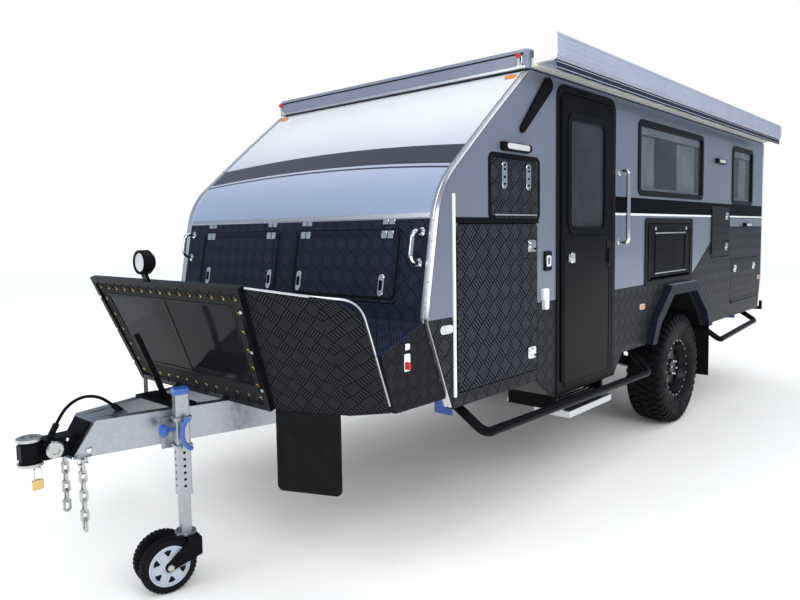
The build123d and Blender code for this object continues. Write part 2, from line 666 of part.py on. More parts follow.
# Gland on the nose plate and socket on the coupling that hold the lead's two ends
with BuildPart() as lead_fittings:
    for end, inward in ((points[0], points[1]), (points[-1], points[-2])):
        with BuildSketch(Plane(origin=end, z_dir=end - inward)):
            Circle(GLAND_R)
        extrude(amount=GLAND_L)
    for seat_x, seat_z in ((NOSE_X - 2 * GLAND_L, RAIL_TOP), (NOSE_X + 2 * GLAND_L, COUPLING_TOP)):
        with Locations((seat_x, 0, seat_z - GLAND_L)):
            Box(4 * GLAND_L, GLAND_L, 2 * GLAND_L, mode=Mode.SUBTRACT)

# Hand brake lever on its bracket
with BuildPart() as brake_lever:
    with Locations((LEVER_X, 0, RAIL_TOP + LEVER_T / 2)):
        Box(LEVER_BASE, 2 * drawbar_y(LEVER_X + LEVER_BASE / 2) + RAIL_W, LEVER_T)
    with BuildSketch(side(LEVER_T / 2)):
        with BuildLine():
            elbow = (LEVER_X + LEVER_BASE / 3, RAIL_TOP + LEVER_BASE)
            Polyline((LEVER_X, RAIL_TOP + LEVER_W / 2), elbow, LEVER_TIP)
            offset(amount=LEVER_W / 2)
        make_face()
    extrude(amount=LEVER_T)

# Jockey wheel: clamp plate on the left drawbar leg
leg_reach = RAIL_W / 2 + CLAMP_T + SEAT + LEG_SIDE / 2
LEG_Y = drawbar_y(LEG_X) + leg_reach / math.cos(math.radians(DRAWBAR_ANGLE))
LEG_PLANE = Plane(Location((LEG_X, LEG_Y, 0), (0, 0, -DRAWBAR_ANGLE)))
with BuildPart() as jockey_clamp:
    clamp_inner = -LEG_SIDE / 2 - SEAT - CLAMP_T
    with Locations(LEG_PLANE.location * Location((0, clamp_inner + CLAMP_PLATE / 2, CLAMP_Z))):
        Box(CLAMP_W, CLAMP_PLATE, CLAMP_H)
    with Locations(LEG_PLANE.location * Location((0, clamp_inner + CLAMP_T / 2, CLAMP_Z), (90, 0, 0))):
        Cylinder(PIVOT_R, CLAMP_T)

# Outer tube of the jockey leg, open below
with BuildPart() as jockey_leg:
    with BuildSketch(LEG_PLANE.offset(LEG_BOTTOM)):
        RectangleRounded(LEG_SIDE, LEG_SIDE, LEG_CORNER)
    extrude(amount=LEG_TOP - LEG_BOTTOM)
    with BuildSketch(LEG_PLANE.offset(LEG_BOTTOM)):
        Rectangle(LEG_SIDE - 2 * LEG_WALL, LEG_SIDE - 2 * LEG_WALL)
    extrude(amount=LEG_TOP - LEG_BOTTOM - LEG_WALL, mode=Mode.SUBTRACT)
    with Locations(LEG_PLANE.location * Location((0, (LEG_SIDE + WINDER[1]) / 2, CLAMP_Z + WINDER_RISE))):
        Box(*WINDER)
    with BuildSketch(LEG_PLANE.offset(LEG_TOP)):
        Circle(LEG_SIDE / 2)
    extrude(amount=LEG_CAP)

# Inner tube that winds up into the leg, with the swivel disc at its foot
with BuildPart() as jockey_stem:
    stem_top = LEG_BOTTOM + STEM_LAP
    with BuildSketch(LEG_PLANE.offset(STEM_FOOT)):
        RectangleRounded(STEM_SIDE, STEM_SIDE, STEM_CORNER)
    extrude(amount=stem_top - STEM_FOOT)
    with BuildSketch(LEG_PLANE.offset(stem_top - STEM_GUIDE)):
        Rectangle(LEG_SIDE - 2 * LEG_WALL - 2 * SEAT, LEG_SIDE - 2 * LEG_WALL - 2 * SEAT)
    extrude(amount=STEM_GUIDE)
    with BuildSketch(LEG_PLANE.offset(STEM_FOOT - SWIVEL_T)):
        Circle(SWIVEL_R)
    extrude(amount=SWIVEL_T)

# Trailing fork: head plate under the swivel, and an arm down each side of the twin wheels
CASTOR = Plane(Location((LEG_X, LEG_Y, 0), (0, 0, CASTOR_HEADING)))
AXLE_PLANE = CASTOR.location * Location((FORK_TRAIL, 0, JOCKEY_R))
jockey_half = JOCKEY_GAP / 2 + JOCKEY_TYRE_W
fork_half = jockey_half + RUN + FORK_ARM_T
with BuildPart() as jockey_fork:
    fork_top = STEM_FOOT - SWIVEL_T - SEAT
    fork_under = fork_top - SWIVEL_T
    with BuildSketch(CASTOR.offset(fork_under)):
        Polygon(
            (-FORK_BACK, -fork_half), (FORK_FRONT, -fork_half), (FORK_FRONT, fork_half), (-FORK_BACK, fork_half),
            align=None,
        )
    extrude(amount=SWIVEL_T)
    for hand in (1, -1):
        arm_middle = hand * (fork_half - FORK_ARM_T / 2)
        with BuildSketch(Plane(CASTOR.location * Location((0, arm_middle, 0), (90, 0, 0)))):
            Polygon(
                (-FORK_BACK, fork_under), (-FORK_BACK, fork_top), (FORK_FRONT, fork_top),
                (FORK_TRAIL + FORK_EYE_R * EYE_SHARE, JOCKEY_R + FORK_EYE_R * EYE_SHARE),
                (FORK_TRAIL - FORK_EYE_R * EYE_SHARE, JOCKEY_R - FORK_EYE_R * EYE_SHARE), (-FORK_BACK, JOCKEY_R + FORK_EYE_R),
                align=None,
            )
            with Locations((FORK_TRAIL, JOCKEY_R)):
                Circle(FORK_EYE_R)
        extrude(amount=FORK_ARM_T / 2, both=True)
    with Locations(AXLE_PLANE * Location((0, 0, 0), (90, 0, 0))):
        Cylinder(JOCKEY_AXLE_R + SEAT, 2 * fork_half, mode=Mode.SUBTRACT)

# Twin jockey tyres, and the hubs that share one axle through the fork's arms
with BuildPart() as jockey_tyres:
    for hand in (1, -1):
        wheel_middle = AXLE_PLANE * Location((0, hand * (JOCKEY_GAP + JOCKEY_TYRE_W) / 2, 0), (90, 0, 0))
        with Locations(wheel_middle):
            Cylinder(JOCKEY_R, JOCKEY_TYRE_W)
    chamfer(jockey_tyres.edges().filter_by(GeomType.CIRCLE), JOCKEY_EASE)
    with Locations(AXLE_PLANE * Location((0, 0, 0), (90, 0, 0))):
        Cylinder(JOCKEY_HUB_R + SEAT, 2 * jockey_half, mode=Mode.SUBTRACT)

with BuildPart() as jockey_hubs:
    with Locations(AXLE_PLANE * Location((0, 0, 0), (90, 0, 0))):
        Cylinder(JOCKEY_AXLE_R, 2 * fork_half)
    for hand in (1, -1):
        hub_middle = AXLE_PLANE * Location((0, hand * (JOCKEY_GAP + JOCKEY_TYRE_W) / 2, 0), (90, 0, 0))
        with Locations(hub_middle):
            Cylinder(JOCKEY_HUB_R, JOCKEY_TYRE_W - 2 * JOCKEY_HUB_INSET)

# Floor with the wheel openings and the entry well below the door
with BuildPart() as cabin_floor:
    floor_front = FOOT_X - WALL / 2
    floor_rear = REAR_FOOT_X + WALL
    with BuildSketch(Plane.XY.offset(RAIL_TOP)):
        with Locations(((floor_front + floor_rear) / 2, 0)):
            Rectangle(floor_front - floor_rear, 2 * INNER_HALF)
        for hand in (1, -1):
            with Locations((0, hand * (INNER_HALF - TUB_DEPTH / 2))):
                Rectangle(2 * (ARCH[0][0] + TUB_T), TUB_DEPTH + 2 * TUB_T, mode=Mode.SUBTRACT)
        with Locations(((DOOR_REAR + DOOR_FRONT) / 2, INNER_HALF - WELL_DEPTH / 2)):
            Rectangle(DOOR_FRONT - DOOR_REAR, WELL_DEPTH, mode=Mode.SUBTRACT)
    extrude(amount=FLOOR_T)
    with BuildSketch(Plane.XY.offset(DOOR_SILL)):
        with Locations(((DOOR_REAR + DOOR_FRONT) / 2, INNER_HALF - WELL_DEPTH / 2)):
            Rectangle(DOOR_FRONT - DOOR_REAR, WELL_DEPTH)
    extrude(amount=FLOOR_TOP - DOOR_SILL)
    with BuildSketch(Plane.XY.offset(DOOR_SILL + WELL_T)):
        with Locations(((DOOR_REAR + DOOR_FRONT) / 2, INNER_HALF - WELL_DEPTH / 2 + WELL_T / 2)):
            Rectangle(DOOR_FRONT - DOOR_REAR - 2 * WELL_T, WELL_DEPTH - WELL_T)
    extrude(amount=FLOOR_TOP - DOOR_SILL, mode=Mode.SUBTRACT)

# Side walls
left_openings = [WINDOWS["big_left"], WINDOWS["small_left"], TABLE]
left_openings += [hatch for hatch in HATCHES.values() if hatch.side > 0]
wall_left = side_wall(+1, left_openings, True)
right_openings = [WINDOWS["big_right"], WINDOWS["small_right"]]
right_openings += [hatch for hatch in HATCHES.values() if hatch.side < 0]
wall_right = side_wall(-1, right_openings, False)

# Lower front panel with its two hatch openings
with BuildPart() as front_lower_panel:
    with BuildSketch(side(INNER_HALF)):
        with BuildLine():
            Polyline(NOSE_FOOT, KNEE, SEAM)
            offset(amount=WALL, side=Side.LEFT)
        make_face()
    extrude(amount=2 * INNER_HALF)
    for hand in (1, -1):
        with BuildSketch(front_hatch_plane(hand)):
            RectangleRounded(FRONT_HATCH_W, FRONT_HATCH_H, FRONT_HATCH_CORNER)
        extrude(amount=-2 * WALL, mode=Mode.SUBTRACT)

# Curved upper front panel with the roof frame's header along its top
with BuildPart() as front_upper_panel:
    with BuildSketch(side(INNER_HALF)):
        with BuildLine():
            draw_crown()
            offset(amount=WALL, side=Side.LEFT)
        make_face()
        with Locations((ROOF_X - HEADER / 2, WALL_TOP - HEADER / 2)):
            Rectangle(HEADER, HEADER)
    extrude(amount=2 * INNER_HALF)

# Rear wall, tucked in at the foot
with BuildPart() as wall_rear:
    with BuildSketch(side(INNER_HALF)):
        with BuildLine():
            Polyline((REAR_X, WALL_TOP), (REAR_X, REAR_KINK_Z), TAIL_FOOT)
            offset(amount=WALL, side=Side.LEFT)
        make_face()
    extrude(amount=2 * INNER_HALF)

# Front hatches
front_hatches = {}
for hand, node in ((1, "front_hatch_left"), (-1, "front_hatch_right")):
    front_hatches[node] = hinged_leaf(
        front_hatch_plane(hand), FRONT_HATCH_W, FRONT_HATCH_H, WALL, FRONT_HATCH_CORNER, "top"
    )

# Frames of the door, the windows and the fold-down table
with BuildPart() as opening_frames:
    with BuildSketch(side(HALF_WIDTH + FRAME_PROUD)) as door_ring:
        draw_door(door_ring)
        with Locations(((DOOR_REAR + DOOR_FRONT) / 2, (DOOR_SILL + DOOR_TOP) / 2)):
            RectangleRounded(DOOR_W, DOOR_H, DOOR_CORNER - DOOR_BAR, mode=Mode.SUBTRACT)
    extrude(amount=WALL + FRAME_PROUD)
    for window in (*WINDOWS.values(), TABLE):
        width, height = window.front - window.rear, window.head - window.sill
        with BuildSketch(wall_plane(window, FRAME_PROUD)):
            RectangleRounded(width, height, window.corner)
            inner_corner = max(window.corner - FRAME_BAR, PANE_CORNER)
            RectangleRounded(width - 2 * FRAME_BAR, height - 2 * FRAME_BAR, inner_corner, mode=Mode.SUBTRACT)
        extrude(amount=-WALL - FRAME_PROUD)
    with BuildSketch(wall_plane(TABLE, -WALL)):
        RectangleRounded(TABLE.front - TABLE.rear, TABLE.head - TABLE.sill, TABLE.corner)
    extrude(amount=-GLASS_T)

# Tinted panes in the window frames
with BuildPart() as window_panes:
    for window in WINDOWS.values():
        width, height = window.front - window.rear, window.head - window.sill
        with BuildSketch(wall_plane(window, -WALL / 2)):
            inner_corner = max(window.corner - FRAME_BAR, PANE_CORNER)
            RectangleRounded(width - 2 * FRAME_BAR, height - 2 * FRAME_BAR, inner_corner)
        extrude(amount=GLASS_T)

# Entry door leaf with its upper light cut out, and the pane in it
door_plane = wall_plane(Opening(+1, DOOR_REAR, DOOR_FRONT, DOOR_SILL, DOOR_TOP, DOOR_CORNER), FRAME_PROUD)
glass_v = DOOR_H / 2 - GLASS_HEAD - GLASS_H / 2
with BuildPart() as entry_door:
    with BuildSketch(door_plane):
        RectangleRounded(DOOR_W - 2 * RUN, DOOR_H - 2 * RUN, DOOR_CORNER - DOOR_BAR - RUN)
        with Locations((0, glass_v)):
            RectangleRounded(GLASS_W, GLASS_H, GLASS_CORNER, mode=Mode.SUBTRACT)
    extrude(amount=-WALL - FRAME_PROUD)
    add_hinge(door_plane, DOOR_W, DOOR_H, "left")

with BuildPart() as door_glass:
    with BuildSketch(door_plane.offset(-WALL / 2)):
        with Locations((0, glass_v)):
            RectangleRounded(GLASS_W, GLASS_H, GLASS_CORNER)
    extrude(amount=GLASS_T)

# Fold-down table leaf
table_plane = wall_plane(TABLE, FRAME_PROUD)
table_w = TABLE.front - TABLE.rear - 2 * FRAME_BAR
table_h = TABLE.head - TABLE.sill - 2 * FRAME_BAR
table_leaf = hinged_leaf(table_plane, table_w, table_h, TABLE_T, TABLE_CORNER, "bottom")

# Wheel tubs inside the cabin and the flares around the arches
with BuildPart() as wheel_tubs:
    for hand in (1, -1):
        with BuildSketch(side(hand * INNER_HALF)):
            draw_arch(grow=TUB_T)
        extrude(amount=hand * TUB_DEPTH)
        with BuildSketch(side(hand * INNER_HALF)):
            draw_arch(floor=BODY_BOTTOM - WALL)
        extrude(amount=hand * (TUB_DEPTH - TUB_T), mode=Mode.SUBTRACT)

with BuildPart() as wheel_flares:
    for hand in (1, -1):
        with BuildSketch(side(hand * HALF_WIDTH)):
            draw_arch(grow=FLARE_W)
        extrude(amount=-hand * FLARE_OUT)
        with BuildSketch(side(hand * HALF_WIDTH)):
            draw_arch(floor=BODY_BOTTOM - WALL)
        extrude(amount=-hand * FLARE_OUT, mode=Mode.SUBTRACT)

# Bed base over the boot, and lockers behind the rear hatches
with BuildPart() as cabin_fitout:
    with BuildSketch(side(INNER_HALF - 8)):
        with BuildLine():
            front_edge = SEAM_X - WALL - 6
            Polyline(
                (BULKHEAD_X, FLOOR_TOP), (BULKHEAD_X, BED_Z + BED_T), (front_edge, BED_Z + BED_T),
                (front_edge, BED_Z), (BULKHEAD_X + BED_T, BED_Z), (BULKHEAD_X + BED_T, FLOOR_TOP), close=True,
            )
        make_face()
    extrude(amount=2 * (INNER_HALF - 8))
    for name, depth in LINER_DEPTH.items():
        hatch = HATCHES[name]
        width, height = hatch.front - hatch.rear, hatch.head - hatch.sill
        with BuildSketch(wall_plane(hatch, -WALL)):
            Rectangle(width + 2 * LINER_T, height + 2 * LINER_T)
        extrude(amount=-depth)
        with BuildSketch(wall_plane(hatch, -WALL)):
            Rectangle(width, height)
        extrude(amount=-depth + LINER_T, mode=Mode.SUBTRACT)

# Lifting roof lid, a shallow tray open below
with BuildPart() as roof_lid:
    with BuildSketch(Plane.XY.offset(LID_BOTTOM)):
        with Locations(((LID_FRONT + LID_REAR) / 2, 0)):
            RectangleRounded(LID_FRONT - LID_REAR, 2 * HALF_WIDTH, LID_CORNER)
    extrude(amount=LID_H)
    chamfer(roof_lid.edges().group_by(Axis.Z)[-1], LID_BEVEL)
    with BuildSketch(Plane.XY.offset(LID_BOTTOM)):
        with Locations(((LID_FRONT + LID_REAR) / 2, 0)):
            Rectangle(LID_FRONT - LID_REAR - 2 * LID_WALL, 2 * (HALF_WIDTH - LID_WALL))
    extrude(amount=LID_H - LID_TOP, mode=Mode.SUBTRACT)

# Fabric skirt, folded between the wall tops and the lid
with BuildPart() as roof_skirt:
    skirt_front = ROOF_X - SKIRT_T
    skirt_rear = REAR_X + (WALL - SKIRT_T) / 2
    skirt_half = HALF_WIDTH - (WALL - SKIRT_T) / 2
    with BuildSketch(Plane.XY.offset(WALL_TOP)):
        with Locations(((skirt_front + skirt_rear) / 2, 0)):
            Rectangle(skirt_front - skirt_rear, 2 * skirt_half)
            Rectangle(skirt_front - skirt_rear - 2 * SKIRT_T, 2 * (skirt_half - SKIRT_T), mode=Mode.SUBTRACT)
    extrude(amount=LID_GAP)

# Awning: rail on the lid's edge, rolled case and its two end caps
with BuildPart() as awning_rail:
    rail_z = LID_BOTTOM + RUN + AWNING_RAIL_H / 2
    with Locations(((LID_FRONT + LID_REAR) / 2, HALF_WIDTH + AWNING_RAIL_T / 2, rail_z)):
        Box(LID_FRONT - LID_REAR - 2 * LID_CORNER, AWNING_RAIL_T, AWNING_RAIL_H)

with BuildPart() as awning_case:
    with BuildSketch(Plane.YZ.offset(AWNING_REAR + AWNING_CAP)) as case_section:
        with Locations((AWNING_IN + AWNING_D / 2, AWNING_BOTTOM + AWNING_H / 2)):
            Rectangle(AWNING_D, AWNING_H)
        fillet(case_section.vertices().group_by(Axis.X)[-1], AWNING_ROUND)
    extrude(amount=AWNING_FRONT - AWNING_REAR - 2 * AWNING_CAP)

with BuildPart() as awning_caps:
    for cap_x in (AWNING_REAR, AWNING_FRONT - AWNING_CAP):
        with BuildSketch(Plane.YZ.offset(cap_x)) as cap_section:
            with Locations((AWNING_IN + AWNING_D / 2, AWNING_BOTTOM + AWNING_H / 2)):
                Rectangle(AWNING_D, AWNING_H + 8)
            fillet(cap_section.vertices().group_by(Axis.X)[-1], AWNING_ROUND)
        extrude(amount=AWNING_CAP)

# Toolbox ahead of the cabin, open on top under its sloping lid
with BuildPart() as toolbox:
    with BuildSketch(side(BOX_HALF)):
        with BuildLine():
            Polyline(NOSE_FOOT, KNEE, BOX_TOP_FRONT, BOX_BOTTOM_FRONT, close=True)
        make_face()
    extrude(amount=2 * BOX_HALF)
    with BuildSketch(side(BOX_HALF - BOX_WALL)):
        with BuildLine():
            Polyline(NOSE_FOOT, KNEE, BOX_TOP_FRONT, BOX_BOTTOM_FRONT, close=True)
        make_face()
        offset(amount=-BOX_WALL, mode=Mode.REPLACE)
    extrude(amount=2 * (BOX_HALF - BOX_WALL), mode=Mode.SUBTRACT)
    lid_angle = math.degrees(math.atan2(KNEE_Z - BOX_TOP_FRONT[1], BOX_TOP_FRONT[0] - KNEE_X))
    lid_length = math.hypot(KNEE_Z - BOX_TOP_FRONT[1], BOX_TOP_FRONT[0] - KNEE_X)
    LID_PLANE = Plane(Location((KNEE_X, 0, KNEE_Z), (0, lid_angle, 0)))
    with BuildSketch(LID_PLANE):
        with Locations((lid_length / 2, 0)):
            Rectangle(lid_length - 6 * BOX_WALL, 2 * BOX_HALF - 4 * BOX_WALL)
    extrude(amount=2 * BOX_WALL, both=True, mode=Mode.SUBTRACT)

with BuildPart() as toolbox_lid:
    with BuildSketch(LID_PLANE.offset(SEAT)):
        with Locations((lid_length / 2 + BOX_WALL, 0)):
            Rectangle(lid_length - BOX_WALL, 2 * BOX_HALF)
    extrude(amount=BOX_LID_T)

# Stone guard frame, leaning forward, with the mesh stretched in it
guard_lean = math.atan2(GUARD_TOP_X - GUARD_FOOT_X, GUARD_TOP_Z - RAIL_TOP)
guard_height = math.hypot(GUARD_TOP_X - GUARD_FOOT_X, GUARD_TOP_Z - RAIL_TOP)
GUARD_PLANE = Plane(
    origin=(GUARD_FOOT_X, 0, RAIL_TOP + GUARD_BAR * math.sin(guard_lean)), x_dir=(0, 1, 0),
    z_dir=(math.cos(guard_lean), 0, -math.sin(guard_lean)),
)


def draw_guard(inset):
    """Guard outline, wider at the top, drawn inwards by the given width."""
    Polygon(
        (-GUARD_FOOT_HALF + inset, inset), (GUARD_FOOT_HALF - inset, inset),
        (GUARD_TOP_HALF - inset, guard_height - inset), (-GUARD_TOP_HALF + inset, guard_height - inset),
        align=None,
    )


with BuildPart() as guard_frame:
    with BuildSketch(GUARD_PLANE):
        draw_guard(0)
    extrude(amount=GUARD_BAR)
    with BuildSketch(GUARD_PLANE):
        draw_guard(GUARD_BAR)
    extrude(amount=GUARD_BAR, mode=Mode.SUBTRACT)

with BuildPart() as guard_mesh:
    with BuildSketch(GUARD_PLANE.offset(GUARD_BAR / 2)):
        draw_guard(GUARD_BAR)
    extrude(amount=MESH_T)

# Wings of the guard: a front plate and a side plate each, folded along the crease
with BuildPart() as guard_wings:
    for hand in (1, -1):
        post_foot = Vector(GUARD_FOOT_X, hand * GUARD_FOOT_HALF, RAIL_TOP)
        post_top = Vector(GUARD_TOP_X, hand * GUARD_TOP_HALF, GUARD_TOP_Z)
        crease_foot = Vector(WING_CREASE.foot_x, hand * WING_CREASE.foot_y, RAIL_TOP)
        crease_top = Vector(WING_CREASE.top_x, hand * WING_CREASE.top_y, WING_CREASE.top_z)
        edge_foot = Vector(WING_EDGE.foot_x, hand * WING_EDGE.foot_y, RAIL_TOP)
        edge_top = Vector(WING_EDGE.top_x, hand * WING_EDGE.top_y, WING_EDGE.top_z)
        front_plate = (post_foot, crease_foot, crease_top, post_top)
        side_plate = (crease_foot, edge_foot, edge_top, crease_top)
        for corners in (front_plate, side_plate):
            along = (corners[1] - corners[0]).normalized()
            normal = along.cross(corners[3] - corners[0]).normalized() * hand
            plate = Plane(origin=corners[0], x_dir=along, z_dir=normal)
            with BuildSketch(plate) as wing_plate:
                flat = [plate.to_local_coords(corner) for corner in corners]
                Polygon(*[(corner.X, corner.Y) for corner in flat], align=None)
                if corners[2] is edge_top:
                    fillet(wing_plate.vertices().sort_by_distance(flat[2])[0], WING_CORNER)
            extrude(amount=-WING_T)

# Rubber flaps under the wings and behind the wheels
with BuildPart() as mud_flaps:
    for hand in (1, -1):
        post = Vector(GUARD_FOOT_X, hand * GUARD_FOOT_HALF, RAIL_TOP)
        crease = Vector(WING_CREASE.foot_x, hand * WING_CREASE.foot_y, RAIL_TOP)
        along = crease - post
        middle = post + along.normalized() * (FLAP_W / 2)
        sheet = Plane(origin=middle, x_dir=along * hand, z_dir=Vector(0, 0, 1).cross(along) * -hand)
        with BuildSketch(sheet) as flap_sheet:
            with Locations((0, -FLAP_H / 2)):
                Rectangle(FLAP_W, FLAP_H)
            fillet(flap_sheet.vertices().group_by(Axis.Y)[0], FLAP_CORNER)
        extrude(amount=FLAP_T, both=True)
        flap_y = HALF_WIDTH + FLARE_OUT - WHEEL_FLAP_IN - WHEEL_FLAP_W / 2
        with Locations((WHEEL_FLAP_X, hand * flap_y, (BODY_BOTTOM + WHEEL_FLAP_LOW) / 2)):
            Box(FLAP_T, WHEEL_FLAP_W, BODY_BOTTOM - WHEEL_FLAP_LOW)

# Work lamp on the guard's top bar
with BuildPart() as work_light:
    lamp_z = GUARD_TOP_Z + LAMP_STEM + LAMP_R
    lamp_x = GUARD_TOP_X + GUARD_BAR / 2
    with Locations(Location((lamp_x, LAMP_Y, lamp_z), (0, 90, 0))):
        Cylinder(LAMP_R, LAMP_D)
    chamfer(work_light.edges().filter_by(GeomType.CIRCLE).sort_by(Axis.X)[0], LAMP_EASE)
    bar_top = GUARD_PLANE.from_local_coords((LAMP_Y, guard_height, GUARD_BAR / 2))
    with BuildSketch(Plane(origin=bar_top, x_dir=(0, 1, 0), z_dir=GUARD_PLANE.y_dir)):
        Rectangle(LAMP_FOOT_W, GUARD_BAR / 2)
    extrude(amount=LAMP_STEM + LAMP_R / 2)

# Side protection rails, bent in and up to the floor at each end
with BuildPart() as side_rails:
    for hand in (1, -1):
        for rail in SIDE_RAILS:
            with BuildLine() as rail_path:
                FilletPolyline(
                    (rail.fix_a, hand * RAIL_FIX_Y, RAIL_TOP), (rail.bend_a, hand * RAIL_OUT, rail.z_a),
                    (rail.bend_b, hand * RAIL_OUT, rail.z_b), (rail.fix_b, hand * RAIL_FIX_Y, RAIL_TOP),
                    radius=RAIL_BEND_R,
                )
            with BuildSketch(Plane(origin=rail_path.line @ 0, z_dir=rail_path.line % 0)):
                Circle(TUBE_R)
            sweep(path=rail_path.wires()[0])
    split(bisect_by=Plane.XY.offset(RAIL_TOP), keep=Keep.BOTTOM)

# Rear bumper across the rail ends
with BuildPart() as rear_bumper:
    with Locations((RAIL_REAR - BUMPER_D / 2, 0, RAIL_TOP - BUMPER_H / 2)):
        Box(BUMPER_D, 2 * BUMPER_HALF, BUMPER_H)
    fillet(rear_bumper.edges().filter_by(Axis.Z).group_by(Axis.X)[0], BUMPER_ROUND)

# Wall lamps on the awning side, and tail lamps
with BuildPart() as lamps:
    for lamp in WALL_LAMPS:
        lamp_plane = Plane(origin=(lamp.x, HALF_WIDTH, lamp.z), x_dir=(-1, 0, 0), z_dir=(0, 1, 0))
        with BuildSketch(lamp_plane):
            RectangleRounded(lamp.width, lamp.height, lamp.height * WALL_LAMP_ROUND)
        extrude(amount=WALL_LAMP_D, taper=WALL_LAMP_TAPER)
    for hand in (1, -1):
        with Locations((REAR_X - TAIL_LAMP[0] / 2, hand * TAIL_LAMP_Y, TAIL_LAMP_Z)):
            Box(*TAIL_LAMP)

# Grab handles: one beside the door and two on the nose
with BuildPart() as grab_handles:
    low, high = DOOR_HANDLE_Z
    outer_y = HALF_WIDTH + HANDLE_OUT
    door_places = ((HALF_WIDTH, low), (outer_y, low), (outer_y, high), (HALF_WIDTH, high))
    bends = [[(DOOR_HANDLE_X, y, z) for y, z in door_places]]
    foot, head = NOSE_HANDLE_V
    places = ((foot, 0), (foot, HANDLE_OUT), (head, HANDLE_OUT), (head, 0))
    for hand in (1, -1):
        bends.append([tuple(nose_plane(hand * NOSE_HANDLE_Y, v).offset(out).origin) for v, out in places])
    for bend in bends:
        with BuildLine() as handle_path:
            FilletPolyline(*bend, radius=HANDLE_BEND)
        with BuildSketch(Plane(origin=handle_path.line @ 0, z_dir=handle_path.line % 0)):
            Circle(HANDLE_R)
        sweep(path=handle_path.wires()[0])

# Sliding entry step under the door, and its runners below the floor
with BuildPart() as entry_step:
    with Locations((STEP_X, STEP_OUT - STEP_D / 2, STEP_Z - STEP_T / 2)):
        Box(STEP_W, STEP_D, STEP_T)
    for hand in (1, -1):
        with Locations((STEP_X + hand * (STEP_W / 2 - RUNNER / 2), STEP_OUT - STEP_D, STEP_Z + RUNNER / 2)):
            Box(RUNNER, STEP_ARM, RUNNER)

with BuildPart() as step_runners:
    for hand in (1, -1):
        runner_x = STEP_X + hand * (STEP_W / 2 + SEAT + RUNNER / 2)
        with Locations((runner_x, STEP_OUT - STEP_D, (STEP_Z + DOOR_SILL) / 2)):
            Box(RUNNER, STEP_RUNNER, DOOR_SILL - STEP_Z)

# Corner steadies
steadies = {}
for end, pivot_x in STEADY_PIVOTS.items():
    heading = 1 if end == "front" else -1
    for hand, word in ((1, "left"), (-1, "right")):
        with BuildPart() as steady:
            middle_x = pivot_x + heading * STEADY_LEN / 2
            with Locations((middle_x, hand * STEADY_Y, STEADY_Z)):
                Box(STEADY_LEN, STEADY_TUBE, STEADY_TUBE)
            with Locations(Location((pivot_x, hand * STEADY_Y, STEADY_Z), (90, 0, 0))):
                Cylinder(STEADY_TUBE / 2, STEADY_TUBE)
                Cylinder(STEADY_PIN_R + SEAT, 2 * STEADY_TUBE, mode=Mode.SUBTRACT)
            with Locations((pivot_x + heading * (STEADY_LEN + FOOT_T / 2), hand * STEADY_Y, STEADY_Z)):
                Box(FOOT_T, FOOT_W, FOOT_L)
        steadies[f"steady_{end}_{word}"] = steady.part

PIECES = {
    "chassis_frame": chassis_frame.part, "axle": axle.part, "coupling": coupling.part,
    "safety_chains": safety_chains.part, "wiring_lead": wiring_lead.part, "lead_fittings": lead_fittings.part,
    "brake_lever": brake_lever.part, "jockey_clamp": jockey_clamp.part, "jockey_leg": jockey_leg.part,
    "jockey_stem": jockey_stem.part, "jockey_fork": jockey_fork.part, "jockey_tyres": jockey_tyres.part,
    "jockey_hubs": jockey_hubs.part, "tyre_left": road_tyre(+1), "tyre_right": road_tyre(-1),
    "rim_left": road_rim(+1), "rim_right": road_rim(-1), "cabin_floor": cabin_floor.part,
    "wall_left": wall_left, "wall_right": wall_right, "front_lower_panel": front_lower_panel.part,
    "front_upper_panel": front_upper_panel.part, "wall_rear": wall_rear.part, **front_hatches,
    "opening_frames": opening_frames.part, "window_panes": window_panes.part, "entry_door": entry_door.part,
    "door_glass": door_glass.part, "table_leaf": table_leaf, **{name: hatch_leaf(name) for name in HATCHES},
    "wheel_tubs": wheel_tubs.part, "wheel_flares": wheel_flares.part, "cabin_fitout": cabin_fitout.part,
    "roof_lid": roof_lid.part, "roof_skirt": roof_skirt.part, "awning_rail": awning_rail.part,
    "awning_case": awning_case.part, "awning_caps": awning_caps.part, "toolbox": toolbox.part,
    "toolbox_lid": toolbox_lid.part, "guard_frame": guard_frame.part, "guard_mesh": guard_mesh.part,
    "guard_wings": guard_wings.part, "mud_flaps": mud_flaps.part, "work_light": work_light.part,
    "side_rails": side_rails.part, "rear_bumper": rear_bumper.part, "lamps": lamps.part,
    "grab_handles": grab_handles.part, "entry_step": entry_step.part, "step_runners": step_runners.part,
    **steadies,
}

# The stored origin is on the ground under the middle of the overall box
low_corner = [min(tuple(piece.bounding_box().min)[axis] for piece in PIECES.values()) for axis in range(3)]
high_corner = [max(tuple(piece.bounding_box().max)[axis] for piece in PIECES.values()) for axis in range(3)]
TO_ORIGIN = Location(tuple(-(low + high) / 2 for low, high in zip(low_corner[:2], high_corner[:2])) + (0,))

os.makedirs("parts", exist_ok=True)
for node, piece in PIECES.items():
    placed = piece.moved(TO_ORIGIN)
    placed.label = node
    export_step(placed, f"parts/{node}.step")
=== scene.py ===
"""Finishes, trim, cloth and studio for the touring caravan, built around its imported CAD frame.

Lengths are metres. Places are given from the drawing datum: x ahead of the axle, y to the door side of
the centre plane and z above the ground.
"""

import json
import logging
import math
from dataclasses import dataclass
from enum import Enum
from typing import Sequence

import bmesh
import bpy
from mathutils import Matrix
from mathutils import Vector

